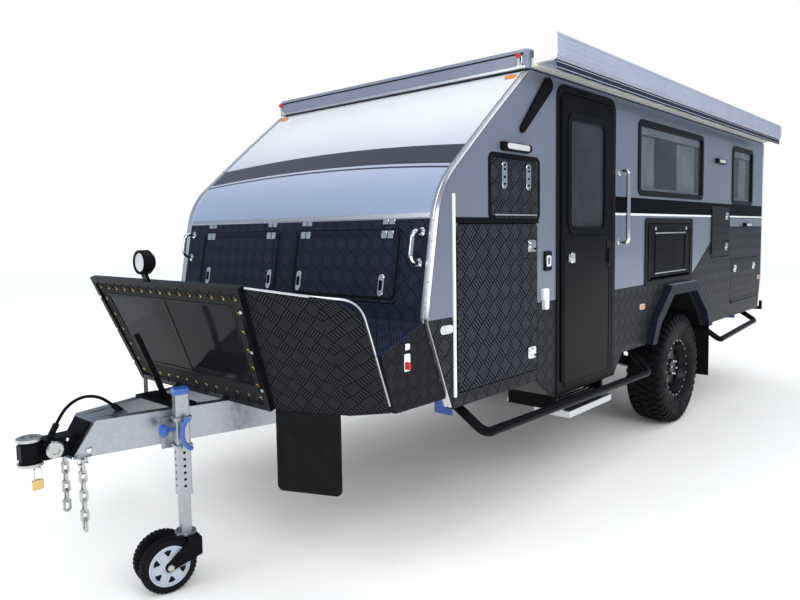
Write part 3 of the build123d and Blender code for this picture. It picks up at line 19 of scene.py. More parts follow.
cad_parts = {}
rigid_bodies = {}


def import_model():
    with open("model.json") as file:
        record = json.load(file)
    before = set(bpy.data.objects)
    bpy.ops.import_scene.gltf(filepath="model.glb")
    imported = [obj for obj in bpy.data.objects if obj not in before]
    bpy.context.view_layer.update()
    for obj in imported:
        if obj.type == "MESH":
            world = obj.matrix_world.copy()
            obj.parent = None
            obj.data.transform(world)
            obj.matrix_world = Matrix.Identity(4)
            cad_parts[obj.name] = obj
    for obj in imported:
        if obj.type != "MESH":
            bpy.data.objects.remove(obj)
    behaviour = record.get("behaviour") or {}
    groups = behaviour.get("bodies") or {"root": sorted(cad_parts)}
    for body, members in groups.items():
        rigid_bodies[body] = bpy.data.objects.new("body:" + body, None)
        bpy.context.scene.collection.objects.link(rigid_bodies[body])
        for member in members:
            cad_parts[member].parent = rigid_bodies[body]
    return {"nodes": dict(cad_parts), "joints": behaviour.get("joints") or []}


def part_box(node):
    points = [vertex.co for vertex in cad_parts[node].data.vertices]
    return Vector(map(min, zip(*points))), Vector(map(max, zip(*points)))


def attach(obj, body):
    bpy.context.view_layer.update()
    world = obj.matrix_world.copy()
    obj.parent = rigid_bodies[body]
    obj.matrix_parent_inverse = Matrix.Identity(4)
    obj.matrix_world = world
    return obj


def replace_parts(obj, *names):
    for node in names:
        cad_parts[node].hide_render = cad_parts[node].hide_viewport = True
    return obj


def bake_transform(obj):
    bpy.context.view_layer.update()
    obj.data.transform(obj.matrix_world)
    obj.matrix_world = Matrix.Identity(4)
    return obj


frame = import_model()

LOG = logging.getLogger("caravan")
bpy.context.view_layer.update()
Colour = tuple[float, float, float]
Socket = bpy.types.NodeSocket
Pair = tuple[float, float]
Place = tuple[float, float, float]
Profile = tuple[Pair, ...]
X, Y, Z = Vector((1, 0, 0)), Vector((0, 1, 0)), Vector((0, 0, 1))
SINK = -0.001  # back of a trim plate, let into the surface that it sits on
EDGE = 0.0015  # half width of the soft edge between two colours
STRETCHES = 5  # straight runs in each round corner of a border
NEAR_SIGHT, FAR_SIGHT = 2.0, 5.0  # how far off a line of sight starts, clear of the caravan


def axle_datum() -> Vector:
    """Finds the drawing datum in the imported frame.

    Returns:
        The point on the ground midway between the two road wheels.
    """
    hubs = [Vector(j["pos_m"]) for j in frame["joints"] if j["name"].startswith("wheel_")]
    middle = (hubs[0] + hubs[1]) / 2
    return Vector((middle.x, middle.y, 0.0))


AXLE = axle_datum()


def spot(x: float, y: float, z: float) -> Vector:
    """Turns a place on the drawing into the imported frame.

    Args:
        x: distance ahead of the axle.
        y: distance to the door side.
        z: height above the ground.

    Returns:
        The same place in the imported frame.
    """
    return AXLE + Vector((x, y, z))


class Side(Enum):
    """The two sides of the caravan, by the sign of y."""

    LEFT = 1
    RIGHT = -1

    @property
    def word(self) -> str:
        """The side's name as the nodes spell it."""
        return self.name.lower()


@dataclass(frozen=True)
class Seat:
    """A flat place that trim sits on.

    Attributes:
        origin: a point on the surface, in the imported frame.
        along: the first direction on the surface.
        up: the second direction on the surface.
        out: the direction away from the caravan.
    """

    origin: Vector
    along: Vector
    up: Vector
    out: Vector

    def at(self, a: float, b: float, c: float = 0.0) -> Vector:
        """Finds the point at distances along, up and out."""
        return self.origin + self.along * a + self.up * b + self.out * c

    def moved(self, a: float, b: float, turn: float = 0.0) -> "Seat":
        """Makes a seat at distances along and up, turned by degrees about the outward direction."""
        spin = Matrix.Rotation(math.radians(turn), 3, self.out)
        return Seat(self.at(a, b), spin @ self.along, spin @ self.up, self.out)


def wall_seat(side: Side, y: float) -> Seat:
    """Makes a seat on a side wall, measured by x and z.

    Args:
        side: which wall.
        y: distance of the surface from the centre plane.

    Returns:
        The seat.
    """
    return Seat(spot(0, side.value * y, 0), X, Z, Y * side.value)


def node_face(node: str, side: Side) -> float:
    """Measures how far a node reaches to one side.

    Args:
        node: the CAD node.
        side: the side to measure on.

    Returns:
        The distance from the centre plane.
    """
    low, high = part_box(node)
    return (high.y - AXLE.y) if side is Side.LEFT else (AXLE.y - low.y)


def strike(node: str, start: Vector, heading: Vector) -> tuple[Vector, Vector]:
    """Finds where a straight line meets a CAD node.

    Args:
        node: the CAD node.
        start: where the line starts.
        heading: its direction.

    Returns:
        The point and the surface's outward direction.

    Raises:
        ValueError: if the line misses the node.
    """
    found, point, normal, _ = frame["nodes"][node].ray_cast(start, heading.normalized())
    if not found:
        raise ValueError(f"{node} isn't met from {tuple(start)}")
    return point, normal


def side_seat(node: str, side: Side, x: float, z: float) -> Seat:
    """Makes a seat where a node is met from one side.

    Args:
        node: the CAD node.
        side: the side it is met from.
        x: distance ahead of the axle.
        z: height above the ground.

    Returns:
        A seat measured by x and z.
    """
    point, _ = strike(node, spot(x, side.value * NEAR_SIGHT, z), Y * -side.value)
    return Seat(point, X, Z, Y * side.value)


def front_seat(node: str, y: float, z: float) -> Seat:
    """Makes a seat where a node is met from the front.

    Args:
        node: the CAD node.
        y: distance to the door side.
        z: height above the ground.

    Returns:
        A seat measured across and up the surface.
    """
    point, out = strike(node, spot(FAR_SIGHT, y, z), -X)
    return Seat(point, Y, out.cross(Y).normalized(), out)


def joint_at(name: str) -> tuple[Vector, Vector]:
    """Looks up a joint.

    Args:
        name: the joint's name.

    Returns:
        Its place and its axis.
    """
    made = next(j for j in frame["joints"] if j["name"] == name)
    return Vector(made.get("pos_m", (0, 0, 0))), Vector(made["axis"]).normalized()


def rounded(width: float, height: float, corner: float, steps: int) -> list[Pair]:
    """Draws a rectangle with round corners about its middle.

    Args:
        width: size along.
        height: size up.
        corner: corner radius.
        steps: straight stretches in each corner.

    Returns:
        The outline's points in order.
    """
    corner = min(corner, width / 2 - 1e-5, height / 2 - 1e-5)
    points = []
    for quarter, (right, top) in enumerate(((1, 1), (-1, 1), (-1, -1), (1, -1))):
        for step in range(steps + 1):
            angle = math.radians(90 * (quarter + step / steps))
            points.append((
                right * (width / 2 - corner) + corner * math.cos(angle),
                top * (height / 2 - corner) + corner * math.sin(angle),
            ))
    return points


def bent(points: Sequence[Vector], radius: float, steps: int) -> list[Vector]:
    """Rounds the corners of a path.

    Args:
        points: the path's corners.
        radius: bend radius at the inner corners.
        steps: stretches in each bend.

    Returns:
        The path with its bends.
    """
    path = [points[0]]
    for before, corner, after in zip(points, points[1:], points[2:]):
        back, ahead = (before - corner), (after - corner)
        reach = min(radius, back.length * 0.48, ahead.length * 0.48)
        start, end = corner + back.normalized() * reach, corner + ahead.normalized() * reach
        for step in range(steps + 1):
            t = step / steps
            path.append(start * (1 - t) ** 2 + corner * 2 * t * (1 - t) + end * t * t)
    path.append(points[-1])
    return path


def ring_profile(flank: Sequence[Pair], half: float) -> list[Pair]:
    """Mirrors a tyre's half section into a closed ring.

    Args:
        flank: radius, and distance from the middle as a share of the half width, from bead to tread.
        half: half width of the tyre.

    Returns:
        Radius and height pairs that end at the first one again.
    """
    near = [(r, -share * half) for r, share in flank]
    far = [(r, share * half) for r, share in reversed(flank)]
    return near + far + near[:1]


# Half sections of turned fittings: radius and height pairs
RIM_BOLT: Profile = ((0.006, -0.004), (0.006, 0.003), (0.0045, 0.0045))
WHEEL_NUT: Profile = ((0.011, -0.004), (0.011, 0.014), (0.008, 0.019))
COUPLING_BOLT: Profile = ((0.008, -0.002), (0.008, 0.006), (0.005, 0.009))
SHACKLE_NUT: Profile = ((0.014, -0.006), (0.014, 0.002), (0.009, 0.004))
COLLAR_BOLT: Profile = ((0.007, 0.0), (0.007, 0.007), (0.004, 0.009))
AXLE_NUT: Profile = ((0.016, 0.0), (0.016, 0.008), (0.012, 0.012))
GUARD_BOLT: Profile = ((0.008, -0.001), (0.008, 0.004), (0.004, 0.006))
TRIM_SCREW: Profile = ((0.0045, 0.001), (0.0045, 0.005), (0.002, 0.0065))
GRAB_FOOT: Profile = ((0.022, -0.001), (0.022, 0.004), (0.016, 0.009))
DOOR_FOOT: Profile = ((0.024, -0.001), (0.024, 0.004), (0.016, 0.01))
LATCH_RIVET: Profile = ((0.007, 0.004), (0.007, 0.0085), (0.004, 0.009))
LATCH_LOCK: Profile = ((0.007, 0.004), (0.007, 0.009), (0.004, 0.01))
TABLE_CATCH: Profile = ((0.014, -0.001), (0.014, 0.006), (0.009, 0.01))
YOKE_CAP: Profile = ((0.036, -0.002), (0.036, 0.006), (0.03, 0.011), (0.018, 0.011), (0.016, 0.006),
                     (0.006, 0.006))
PIN_CAP: Profile = ((0.05, -0.012), (0.05, 0.0), (0.044, 0.003), (0.03, 0.003), (0.028, -0.01))
STEM_FLANGE: Profile = ((0.04, -0.016), (0.046, -0.012), (0.046, -0.003), (0.043, -0.0005), (0.03, -0.0005))
CLAMP_KNOB: Profile = ((0.007, -0.03), (0.007, 0.0), (0.022, 0.002), (0.029, 0.01), (0.029, 0.024),
                       (0.02, 0.034), (0.006, 0.037))
HUB_RIM: Profile = ((0.088, -0.008), (0.088, 0.002), (0.082, 0.004), (0.078, -0.002), (0.034, 0.0),
                    (0.028, 0.008), (0.012, 0.01))
EYELET: Profile = ((0.0035, -0.001), (0.0085, -0.001), (0.0085, 0.0025), (0.006, 0.0035), (0.0035, 0.002),
                   (0.0035, -0.001))
WORK_LENS: Profile = ((0.044, -0.002), (0.044, 0.002), (0.03, 0.006), (0.01, 0.008))
WORK_BEZEL: Profile = ((0.057, -0.006), (0.057, 0.006), (0.052, 0.009), (0.046, 0.006), (0.045, -0.002))
LID_KNOB: Profile = ((0.006, 0.0), (0.013, 0.004), (0.015, 0.012), (0.011, 0.02), (0.004, 0.022))


class Shape:
    """A mesh under construction, made of lofted rings."""

    def __init__(self) -> None:
        """Starts with no surface."""
        self.points: list[Vector] = []
        self.faces: list[tuple[int, ...]] = []

    def loft(self, rings: Sequence[Sequence[Vector]], closed: bool = True, caps: bool = True) -> None:
        """Joins rings of points by quads.

        Args:
            rings: rings with the same number of points.
            closed: whether each ring's last point joins its first.
            caps: whether the first and last rings are closed off.
        """
        start, count = len(self.points), len(rings[0])
        for ring in rings:
            self.points.extend(ring)
        for row in range(len(rings) - 1):
            for k in range(count if closed else count - 1):
                a = start + row * count + k
                b = start + row * count + (k + 1) % count
                self.faces.append((a, b, b + count, a + count))
        if caps:
            last = len(self.points) - count
            self.faces.append(tuple(range(start, start + count)))
            self.faces.append(tuple(range(last, last + count)))

    def plate(self, seat: Seat, size: Pair, corner: float, thick: float, rim: float,
              lift: float = 0.0, steps: int = 4) -> None:
        """Adds a flat plate with round corners and a softened front edge.

        Args:
            seat: the plate's middle.
            size: size along and up.
            corner: corner radius.
            thick: thickness.
            rim: how far the front edge is eased.
            lift: distance of the back from the seat.
            steps: stretches in each corner.
        """
        outer = rounded(*size, corner, steps)
        inner = rounded(size[0] - 2 * rim, size[1] - 2 * rim, max(corner - rim, 0.0003), steps)
        front = lift + thick
        self.loft([
            [seat.at(a, b, lift) for a, b in outer],
            [seat.at(a, b, front - rim) for a, b in outer],
            [seat.at(a, b, front) for a, b in inner],
        ])

    def border(self, seat: Seat, size: Pair, corner: float, width: float, thick: float,
               rim: float = 0.001) -> None:
        """Adds a picture-frame border.

        Args:
            seat: the border's middle.
            size: outer size along and up.
            corner: outer corner radius.
            width: width of the border.
            thick: thickness.
            rim: how far the front edges are eased.
        """
        def ring(inset: float, height: float) -> list[Vector]:
            """Draws one ring by its distances in from the outer edge and out from the seat."""
            points = rounded(size[0] - 2 * inset, size[1] - 2 * inset, max(corner - inset, 0.001), STRETCHES)
            return [seat.at(a, b, height) for a, b in points]

        rings = [ring(0, 0), ring(0, thick - rim), ring(rim, thick), ring(width - rim, thick)]
        rings += [ring(width, thick - rim), ring(width, 0), ring(0, 0)]
        self.loft(rings, caps=False)

    def tube(self, path: Sequence[Vector], radius: float, sides: int = 10) -> None:
        """Adds a round tube along a path.

        Args:
            path: the centre line.
            radius: tube radius.
            sides: facets round the tube.
        """
        heading = (path[1] - path[0]).normalized()
        normal = heading.orthogonal().normalized()
        rings = []
        for k, point in enumerate(path):
            new = (path[min(k + 1, len(path) - 1)] - path[max(k - 1, 0)]).normalized()
            normal = (heading.rotation_difference(new) @ normal).normalized()
            heading = new
            side = heading.cross(normal)
            turns = [2 * math.pi * s / sides for s in range(sides)]
            rings.append([point + (normal * math.cos(t) + side * math.sin(t)) * radius for t in turns])
        self.loft(rings)

    def turned(self, origin: Vector, axis: Vector, profile: Sequence[Pair], sides: int) -> None:
        """Adds a turned piece.

        Args:
            origin: a point on the axis.
            axis: the axis direction.
            profile: radius and height pairs from one end to the other, or back to the first for a ring.
            sides: facets round the axis.
        """
        right = axis.orthogonal().normalized()
        front = axis.cross(right)
        turns = [2 * math.pi * s / sides for s in range(sides)]
        self.loft([
            [origin + axis * h + (right * math.cos(t) + front * math.sin(t)) * max(r, 1e-5) for t in turns]
            for r, h in profile
        ], caps=profile[0] != profile[-1])

    def strip(self, path: Sequence[Vector], across: Vector, outs: Sequence[Vector],
              section: Sequence[Pair]) -> None:
        """Runs a flat section, as distances across and out, along a path on a surface."""
        self.loft([[p + across * a + out * c for a, c in section] for p, out in zip(path, outs)])

    def bar(self, start: Vector, end: Vector, across: Vector, width: float, height: float) -> None:
        """Adds a bar of chamfered section between two points.

        Args:
            start: middle of one end.
            end: middle of the other end.
            across: direction of the section's width.
            width: section width.
            height: section height.
        """
        heading = (end - start).normalized()
        out = heading.cross(across).normalized()
        side = out.cross(heading).normalized()
        section = rounded(width, height, min(width, height) * 0.18, 1)
        self.loft([[p + side * a + out * c for a, c in section] for p in (start, end)])


def show(name: str, shape: Shape, finish: "Finish", body: str = "trailer",
         smooth: float = 35.0) -> bpy.types.Object:
    """Turns a shape into a piece that rides a body.

    Args:
        name: the piece's name.
        shape: its surface.
        finish: its finish.
        body: the CAD body that carries it.
        smooth: sharpest angle that is shaded smooth, in degrees.

    Returns:
        The piece.
    """
    mesh = bpy.data.meshes.new(name)
    mesh.from_pydata([tuple(p) for p in shape.points], [], shape.faces)
    work = bmesh.new()
    work.from_mesh(mesh)
    bmesh.ops.recalc_face_normals(work, faces=work.faces)
    work.to_mesh(mesh)
    work.free()
    mesh.shade_smooth()
    mesh.set_sharp_from_angle(angle=math.radians(smooth))
    mesh.materials.append(finish.material())
    piece = bpy.data.objects.new(name, mesh)
    bpy.context.scene.collection.objects.link(piece)
    if body:
        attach(piece, body)
    return piece


def dress(finish: "Finish", *nodes: str) -> None:
    """Gives CAD nodes a finish.

    Args:
        finish: the finish.
        nodes: the nodes that take it.
    """
    for node in nodes:
        materials = frame["nodes"][node].data.materials
        materials.clear()
        materials.append(finish.material())


class Graph:
    """Shader nodes of one material, made by short calls."""

    def __init__(self, name: str) -> None:
        """Starts an empty material.

        Args:
            name: the material's name.
        """
        self.made = bpy.data.materials.new(name)
        self.made.use_nodes = True
        self.tree = self.made.node_tree
        self.tree.nodes.clear()

    def node(self, kind: str, inputs: dict[str, object] | None = None, **settings: object) -> bpy.types.Node:
        """Adds a node.

        Args:
            kind: the node type.
            inputs: constants or sockets by input name.
            settings: the node's own options.

        Returns:
            The node.
        """
        made = self.tree.nodes.new(kind)
        for key, value in settings.items():
            setattr(made, key, value)
        for key, value in (inputs or {}).items():
            self.feed(made.inputs[key], value)
        return made

    def feed(self, socket: Socket, value: object) -> None:
        """Links or sets one input.

        Args:
            socket: the input.
            value: an output socket, a number or a colour.
        """
        if isinstance(value, bpy.types.NodeSocket):
            self.tree.links.new(value, socket)
        elif isinstance(value, tuple) and len(socket.default_value) == 4:
            socket.default_value = (*value, 1.0)
        else:
            socket.default_value = value

    def math(self, operation: str, first: Socket | float, second: Socket | float = 0.0) -> Socket:
        """Adds a sum on one or two values.

        Args:
            operation: Blender's name of the operation.
            first: the first value.
            second: the second value.

        Returns:
            The result.
        """
        made = self.node("ShaderNodeMath", operation=operation)
        self.feed(made.inputs[0], first)
        self.feed(made.inputs[1], second)
        return made.outputs[0]

    def rise(self, value: Socket, low: float, high: float) -> Socket:
        """Turns a value into a smooth step.

        Args:
            value: what is measured.
            low: where the step starts.
            high: where it ends, which may be below the start.

        Returns:
            A value from 0 to 1.
        """
        made = self.node("ShaderNodeMapRange", {"Value": value, "From Min": low, "From Max": high})
        made.interpolation_type = "SMOOTHSTEP"
        return made.outputs["Result"]

    def below(self, value: Socket, limit: float) -> Socket:
        """Marks where a value is under a limit: 1 below it and 0 above it."""
        return self.rise(value, limit + EDGE, limit - EDGE)

    def between(self, value: Socket, low: float, high: float) -> Socket:
        """Marks where a value is between two limits: 1 between them and 0 outside them."""
        return self.math("MULTIPLY", self.below(value, high), self.rise(value, low - EDGE, low + EDGE))

    def blend(self, factor: Socket | float, low: object, high: object) -> Socket:
        """Mixes two colours.

        Args:
            factor: share of the second.
            low: first colour.
            high: second colour.

        Returns:
            The mixed colour.
        """
        made = self.node("ShaderNodeMix", data_type="RGBA")
        self.feed(made.inputs[0], factor)
        self.feed(made.inputs[6], low)
        self.feed(made.inputs[7], high)
        return made.outputs[2]

    def noise(self, scale: float, detail: float = 2.0) -> Socket:
        """Adds noise in the object's own space.

        Args:
            scale: features to a metre.
            detail: finer layers.

        Returns:
            The noise value.
        """
        place = self.node("ShaderNodeTexCoord").outputs["Object"]
        inputs = {"Vector": place, "Scale": scale, "Detail": detail}
        return self.node("ShaderNodeTexNoise", inputs).outputs[0]

    def place(self) -> tuple[Socket, Socket, Socket]:
        """Measures places from the drawing datum.

        Returns:
            x, y and z.
        """
        here = self.node("ShaderNodeTexCoord").outputs["Object"]
        moved = self.node("ShaderNodeVectorMath", operation="SUBTRACT")
        self.feed(moved.inputs[0], here)
        moved.inputs[1].default_value = AXLE
        parts = self.node("ShaderNodeSeparateXYZ", {"Vector": moved.outputs[0]})
        return parts.outputs[0], parts.outputs[1], parts.outputs[2]

    def unrolled(self) -> tuple[Socket, Socket]:
        """Lays a flat pattern on whichever way a face looks.

        Returns:
            Two distances on the face.
        """
        x, y, z = self.place()
        normal = self.node("ShaderNodeTexCoord").outputs["Normal"]
        parts = self.node("ShaderNodeSeparateXYZ", {"Vector": normal})
        ax, ay, az = (self.math("ABSOLUTE", parts.outputs[k]) for k in range(3))
        ends = self.math("GREATER_THAN", ax, ay)
        tops = self.math("GREATER_THAN", az, self.math("MAXIMUM", ax, ay))
        across = self.choose(tops, self.choose(ends, x, y), x)
        return across, self.choose(tops, z, y)

    def choose(self, factor: Socket, low: Socket | float, high: Socket | float) -> Socket:
        """Mixes two values.

        Args:
            factor: share of the second.
            low: first value.
            high: second value.

        Returns:
            The mixed value.
        """
        made = self.node("ShaderNodeMix", data_type="FLOAT")
        self.feed(made.inputs[0], factor)
        self.feed(made.inputs[2], low)
        self.feed(made.inputs[3], high)
        return made.outputs[0]

    def bump(self, height: Socket, distance: float, strength: float) -> Socket:
        """Turns a height from 0 to 1 into a shaded normal with relief of a given depth."""
        made = self.node("ShaderNodeBump", {"Height": height, "Distance": distance, "Strength": strength})
        return made.outputs[0]

    def surface(self, **inputs: object) -> None:
        """Ends the material with a principled surface.

        Args:
            inputs: principled inputs, with underscores for spaces.
        """
        named = {key.replace("_", " "): value for key, value in inputs.items()}
        shader = self.node("ShaderNodeBsdfPrincipled", named)
        end = self.node("ShaderNodeOutputMaterial")
        self.tree.links.new(shader.outputs[0], end.inputs[0])


MADE: dict[str, bpy.types.Material] = {}


@dataclass(frozen=True)
class Finish:
    """A surface finish, made once as a material.

    Attributes:
        name: the material's name.
        colour: its main colour, linear.
    """

    name: str
    colour: Colour

    def material(self) -> bpy.types.Material:
        """Finds or makes the material.

        Returns:
            The material.
        """
        if self.name not in MADE:
            graph = Graph(self.name)
            self.draw(graph)
            MADE[self.name] = graph.made
        return MADE[self.name]

    def draw(self, graph: Graph) -> None:
        """Adds the finish's nodes to a material."""
        raise NotImplementedError

    def shade(self, factor: float) -> Colour:
        """Scales the colour: lighter above 1, darker below."""
        return tuple(min(1.0, c * factor) for c in self.colour)


@dataclass(frozen=True)
class Paint(Finish):
    """Sprayed or powder coat, with a faint texture and film of dust.

    Attributes:
        rough: surface roughness.
        coat: share of clear coat.
        spec: strength of the mirror-like share.
        mottle: how far the colour drifts.
        grain: texture features to a metre.
        relief: texture depth.
    """

    rough: float = 0.3
    coat: float = 0.3
    spec: float = 0.5
    mottle: float = 0.1
    grain: float = 340.0
    relief: float = 0.0002

    def draw(self, graph: Graph) -> None:
        """Adds the paint's nodes.

        Args:
            graph: the material's nodes.
        """
        cloud = graph.rise(graph.noise(2.6, 5.0), 0.35, 0.75)
        graph.surface(
            Base_Color=graph.blend(cloud, self.shade(1 + self.mottle / 2), self.shade(1 - self.mottle)),
            Roughness=graph.choose(cloud, self.rough, self.rough + 0.08),
            Coat_Weight=self.coat,
            Coat_Roughness=0.08,
            Specular_IOR_Level=self.spec,
            Normal=graph.bump(graph.noise(self.grain), self.relief, 0.4),
        )


@dataclass(frozen=True)
class Metal(Finish):
    """Bare or plated metal.

    Attributes:
        rough: surface roughness.
        spangle: crystals to a metre, or none at 0.
    """

    rough: float = 0.3
    spangle: float = 0.0

    def draw(self, graph: Graph) -> None:
        """Adds the metal's nodes.

        Args:
            graph: the material's nodes.
        """
        marks = graph.noise(90.0, 3.0)
        shade = marks
        if self.spangle:
            here = graph.node("ShaderNodeTexCoord").outputs["Object"]
            cells = graph.node("ShaderNodeTexVoronoi", {"Vector": here, "Scale": self.spangle})
            tone = graph.node("ShaderNodeSeparateColor", {"Color": cells.outputs["Color"]})
            shade = graph.choose(0.35, tone.outputs[0], marks)
        graph.surface(
            Base_Color=graph.blend(shade, self.shade(0.82), self.shade(1.12)),
            Metallic=1.0,
            Roughness=graph.choose(shade, self.rough * 0.75, self.rough * 1.3),
            Normal=graph.bump(marks, 0.0002, 0.25),
        )


@dataclass(frozen=True)
class FootedMetal(Metal):
    """Plated tube whose two ends are painted.

    Attributes:
        feet: x ahead of which, and x behind which, the ends are painted.
        paint: colour of the ends.
    """

    feet: Pair = (1.0, -1.0)
    paint: Colour = (0.02, 0.1, 0.42)

    def draw(self, graph: Graph) -> None:
        """Adds the metal's and the paint's nodes.

        Args:
            graph: the material's nodes.
        """
        x, _, _ = graph.place()
        ends = graph.math("MAXIMUM", graph.rise(x, self.feet[0] - 0.002, self.feet[0] + 0.002),
                          graph.rise(x, self.feet[1] + 0.002, self.feet[1] - 0.002))
        marks = graph.noise(90.0, 3.0)
        graph.surface(
            Base_Color=graph.blend(ends, graph.blend(marks, self.shade(0.85), self.shade(1.1)), self.paint),
            Metallic=graph.choose(ends, 1.0, 0.0),
            Roughness=graph.choose(marks, self.rough * 0.8, self.rough * 1.2),
            Normal=graph.bump(marks, 0.0002, 0.25),
        )


@dataclass(frozen=True)
class Rubber(Finish):
    """Tyre and flap rubber, slightly dusty."""

    def draw(self, graph: Graph) -> None:
        """Adds the rubber's nodes.

        Args:
            graph: the material's nodes.
        """
        dust = graph.rise(graph.noise(14.0, 6.0), 0.42, 0.78)
        graph.surface(
            Base_Color=graph.blend(dust, self.colour, self.shade(2.0)),
            Roughness=graph.choose(dust, 0.5, 0.8),
            Specular_IOR_Level=0.08,
            Normal=graph.bump(graph.noise(420.0, 4.0), 0.0005, 0.5),
        )


@dataclass(frozen=True)
class Plastic(Finish):
    """Moulded plastic with a fine grain.

    Attributes:
        rough: surface roughness.
        spec: strength of the mirror-like share.
    """

    rough: float = 0.4
    spec: float = 0.35

    def draw(self, graph: Graph) -> None:
        """Adds the plastic's nodes.

        Args:
            graph: the material's nodes.
        """
        cloud = graph.noise(18.0, 3.0)
        graph.surface(
            Base_Color=graph.blend(cloud, self.shade(0.92), self.shade(1.08)),
            Roughness=graph.choose(cloud, self.rough * 0.85, self.rough * 1.15),
            Specular_IOR_Level=self.spec,
            Normal=graph.bump(graph.noise(700.0), 0.0002, 0.35),
        )


@dataclass(frozen=True)
class Glazing(Finish):
    """Tinted acrylic or lens plastic.

    Attributes:
        clear: share of light let through.
        rough: surface roughness.
        bend: refractive index.
    """

    clear: float = 0.7
    rough: float = 0.04
    bend: float = 1.45

    def draw(self, graph: Graph) -> None:
        """Adds the glazing's nodes.

        Args:
            graph: the material's nodes.
        """
        film = graph.rise(graph.noise(5.0, 4.0), 0.4, 0.8)
        graph.surface(
            Base_Color=graph.blend(film, self.colour, self.shade(1.2)),
            Roughness=graph.choose(film, self.rough, self.rough + 0.05),
            Transmission_Weight=self.clear,
            IOR=self.bend,
            Normal=graph.bump(graph.noise(9.0), 0.001, 0.04),
        )


@dataclass(frozen=True)
class Cloth(Finish):
    """Woven cloth.

    Attributes:
        threads: threads to a metre.
        light: second thread colour.
    """

    threads: float = 900.0
    light: Colour = (0.5, 0.5, 0.5)

    def draw(self, graph: Graph) -> None:
        """Adds the weave's nodes.

        Args:
            graph: the material's nodes.
        """
        across, up = graph.unrolled()
        warp = graph.math("SINE", graph.math("MULTIPLY", across, self.threads * math.pi))
        weft = graph.math("SINE", graph.math("MULTIPLY", up, self.threads * math.pi))
        weave = graph.rise(graph.math("MULTIPLY", warp, weft), -1.0, 1.0)
        slub = graph.noise(60.0, 4.0)
        graph.surface(
            Base_Color=graph.blend(graph.math("MULTIPLY", weave, slub), self.colour, self.light),
            Roughness=0.85,
            Specular_IOR_Level=0.2,
            Normal=graph.bump(weave, 0.0006, 0.5),
        )


@dataclass(frozen=True)
class TreadPlate(Finish):
    """Rolled plate with patches of short bars, turned patch by patch.

    Attributes:
        bar: colour of the raised bars, lighter than the flat as a painted highlight.
        pitch: size of a patch.
        bars: bars in a patch.
        depth: height of the bars.
        rough: roughness of the flat.
        metal: share of bare metal.
        contrast: how much lighter every other patch is painted, a painted sheen as if its bars caught the
            light.
    """

    bar: Colour = (0.05, 0.052, 0.058)
    pitch: float = 0.05
    bars: int = 5
    depth: float = 0.0014
    rough: float = 0.32
    metal: float = 0.0
    contrast: float = 2.4

    def pattern(self, graph: Graph) -> tuple[Socket, Socket]:
        """Draws the pattern.

        Args:
            graph: the material's nodes.

        Returns:
            1 on a bar and 0 on the flat, and 1 on every other patch.
        """
        across, up = graph.unrolled()
        scale = math.sqrt(0.5) / self.pitch
        first = graph.math("MULTIPLY", graph.math("ADD", across, up), scale)
        second = graph.math("MULTIPLY", graph.math("SUBTRACT", across, up), scale)
        patch = graph.math("ADD", graph.math("FLOOR", first), graph.math("FLOOR", second))
        turned = graph.math("FLOORED_MODULO", patch, 2.0)
        one, two = graph.math("FRACT", first), graph.math("FRACT", second)
        rung = graph.math("FRACT", graph.math("MULTIPLY", graph.choose(turned, two, one), float(self.bars)))
        length = graph.choose(turned, one, two)
        bars = graph.rise(graph.math("ABSOLUTE", graph.math("SUBTRACT", rung, 0.5)), 0.38, 0.2)
        ends = graph.rise(graph.math("ABSOLUTE", graph.math("SUBTRACT", length, 0.5)), 0.47, 0.4)
        return graph.math("MULTIPLY", bars, ends), turned

    def draw(self, graph: Graph) -> None:
        """Adds the plate's nodes.

        Args:
            graph: the material's nodes.
        """
        bars, turned = self.pattern(graph)
        scuff = graph.rise(graph.noise(7.0, 5.0), 0.4, 0.8)
        # painted sheen: every other patch is painted lighter, as if its bars caught the light, and scuffs
        # drift its tone
        patch_sheen_and_scuff = graph.blend(scuff, self.shade(self.contrast), self.shade(1.3))
        flat = graph.blend(turned, self.colour, patch_sheen_and_scuff)
        graph.surface(
            # painted highlight: the raised bars take the lighter bar colour, as if they glinted
            Base_Color=graph.blend(bars, flat, self.bar),
            Metallic=self.metal,
            Roughness=graph.choose(bars, self.rough, self.rough * 0.7),
            Specular_IOR_Level=graph.choose(bars, 0.012, 0.12),
            Normal=graph.bump(bars, self.depth, 0.9),
        )


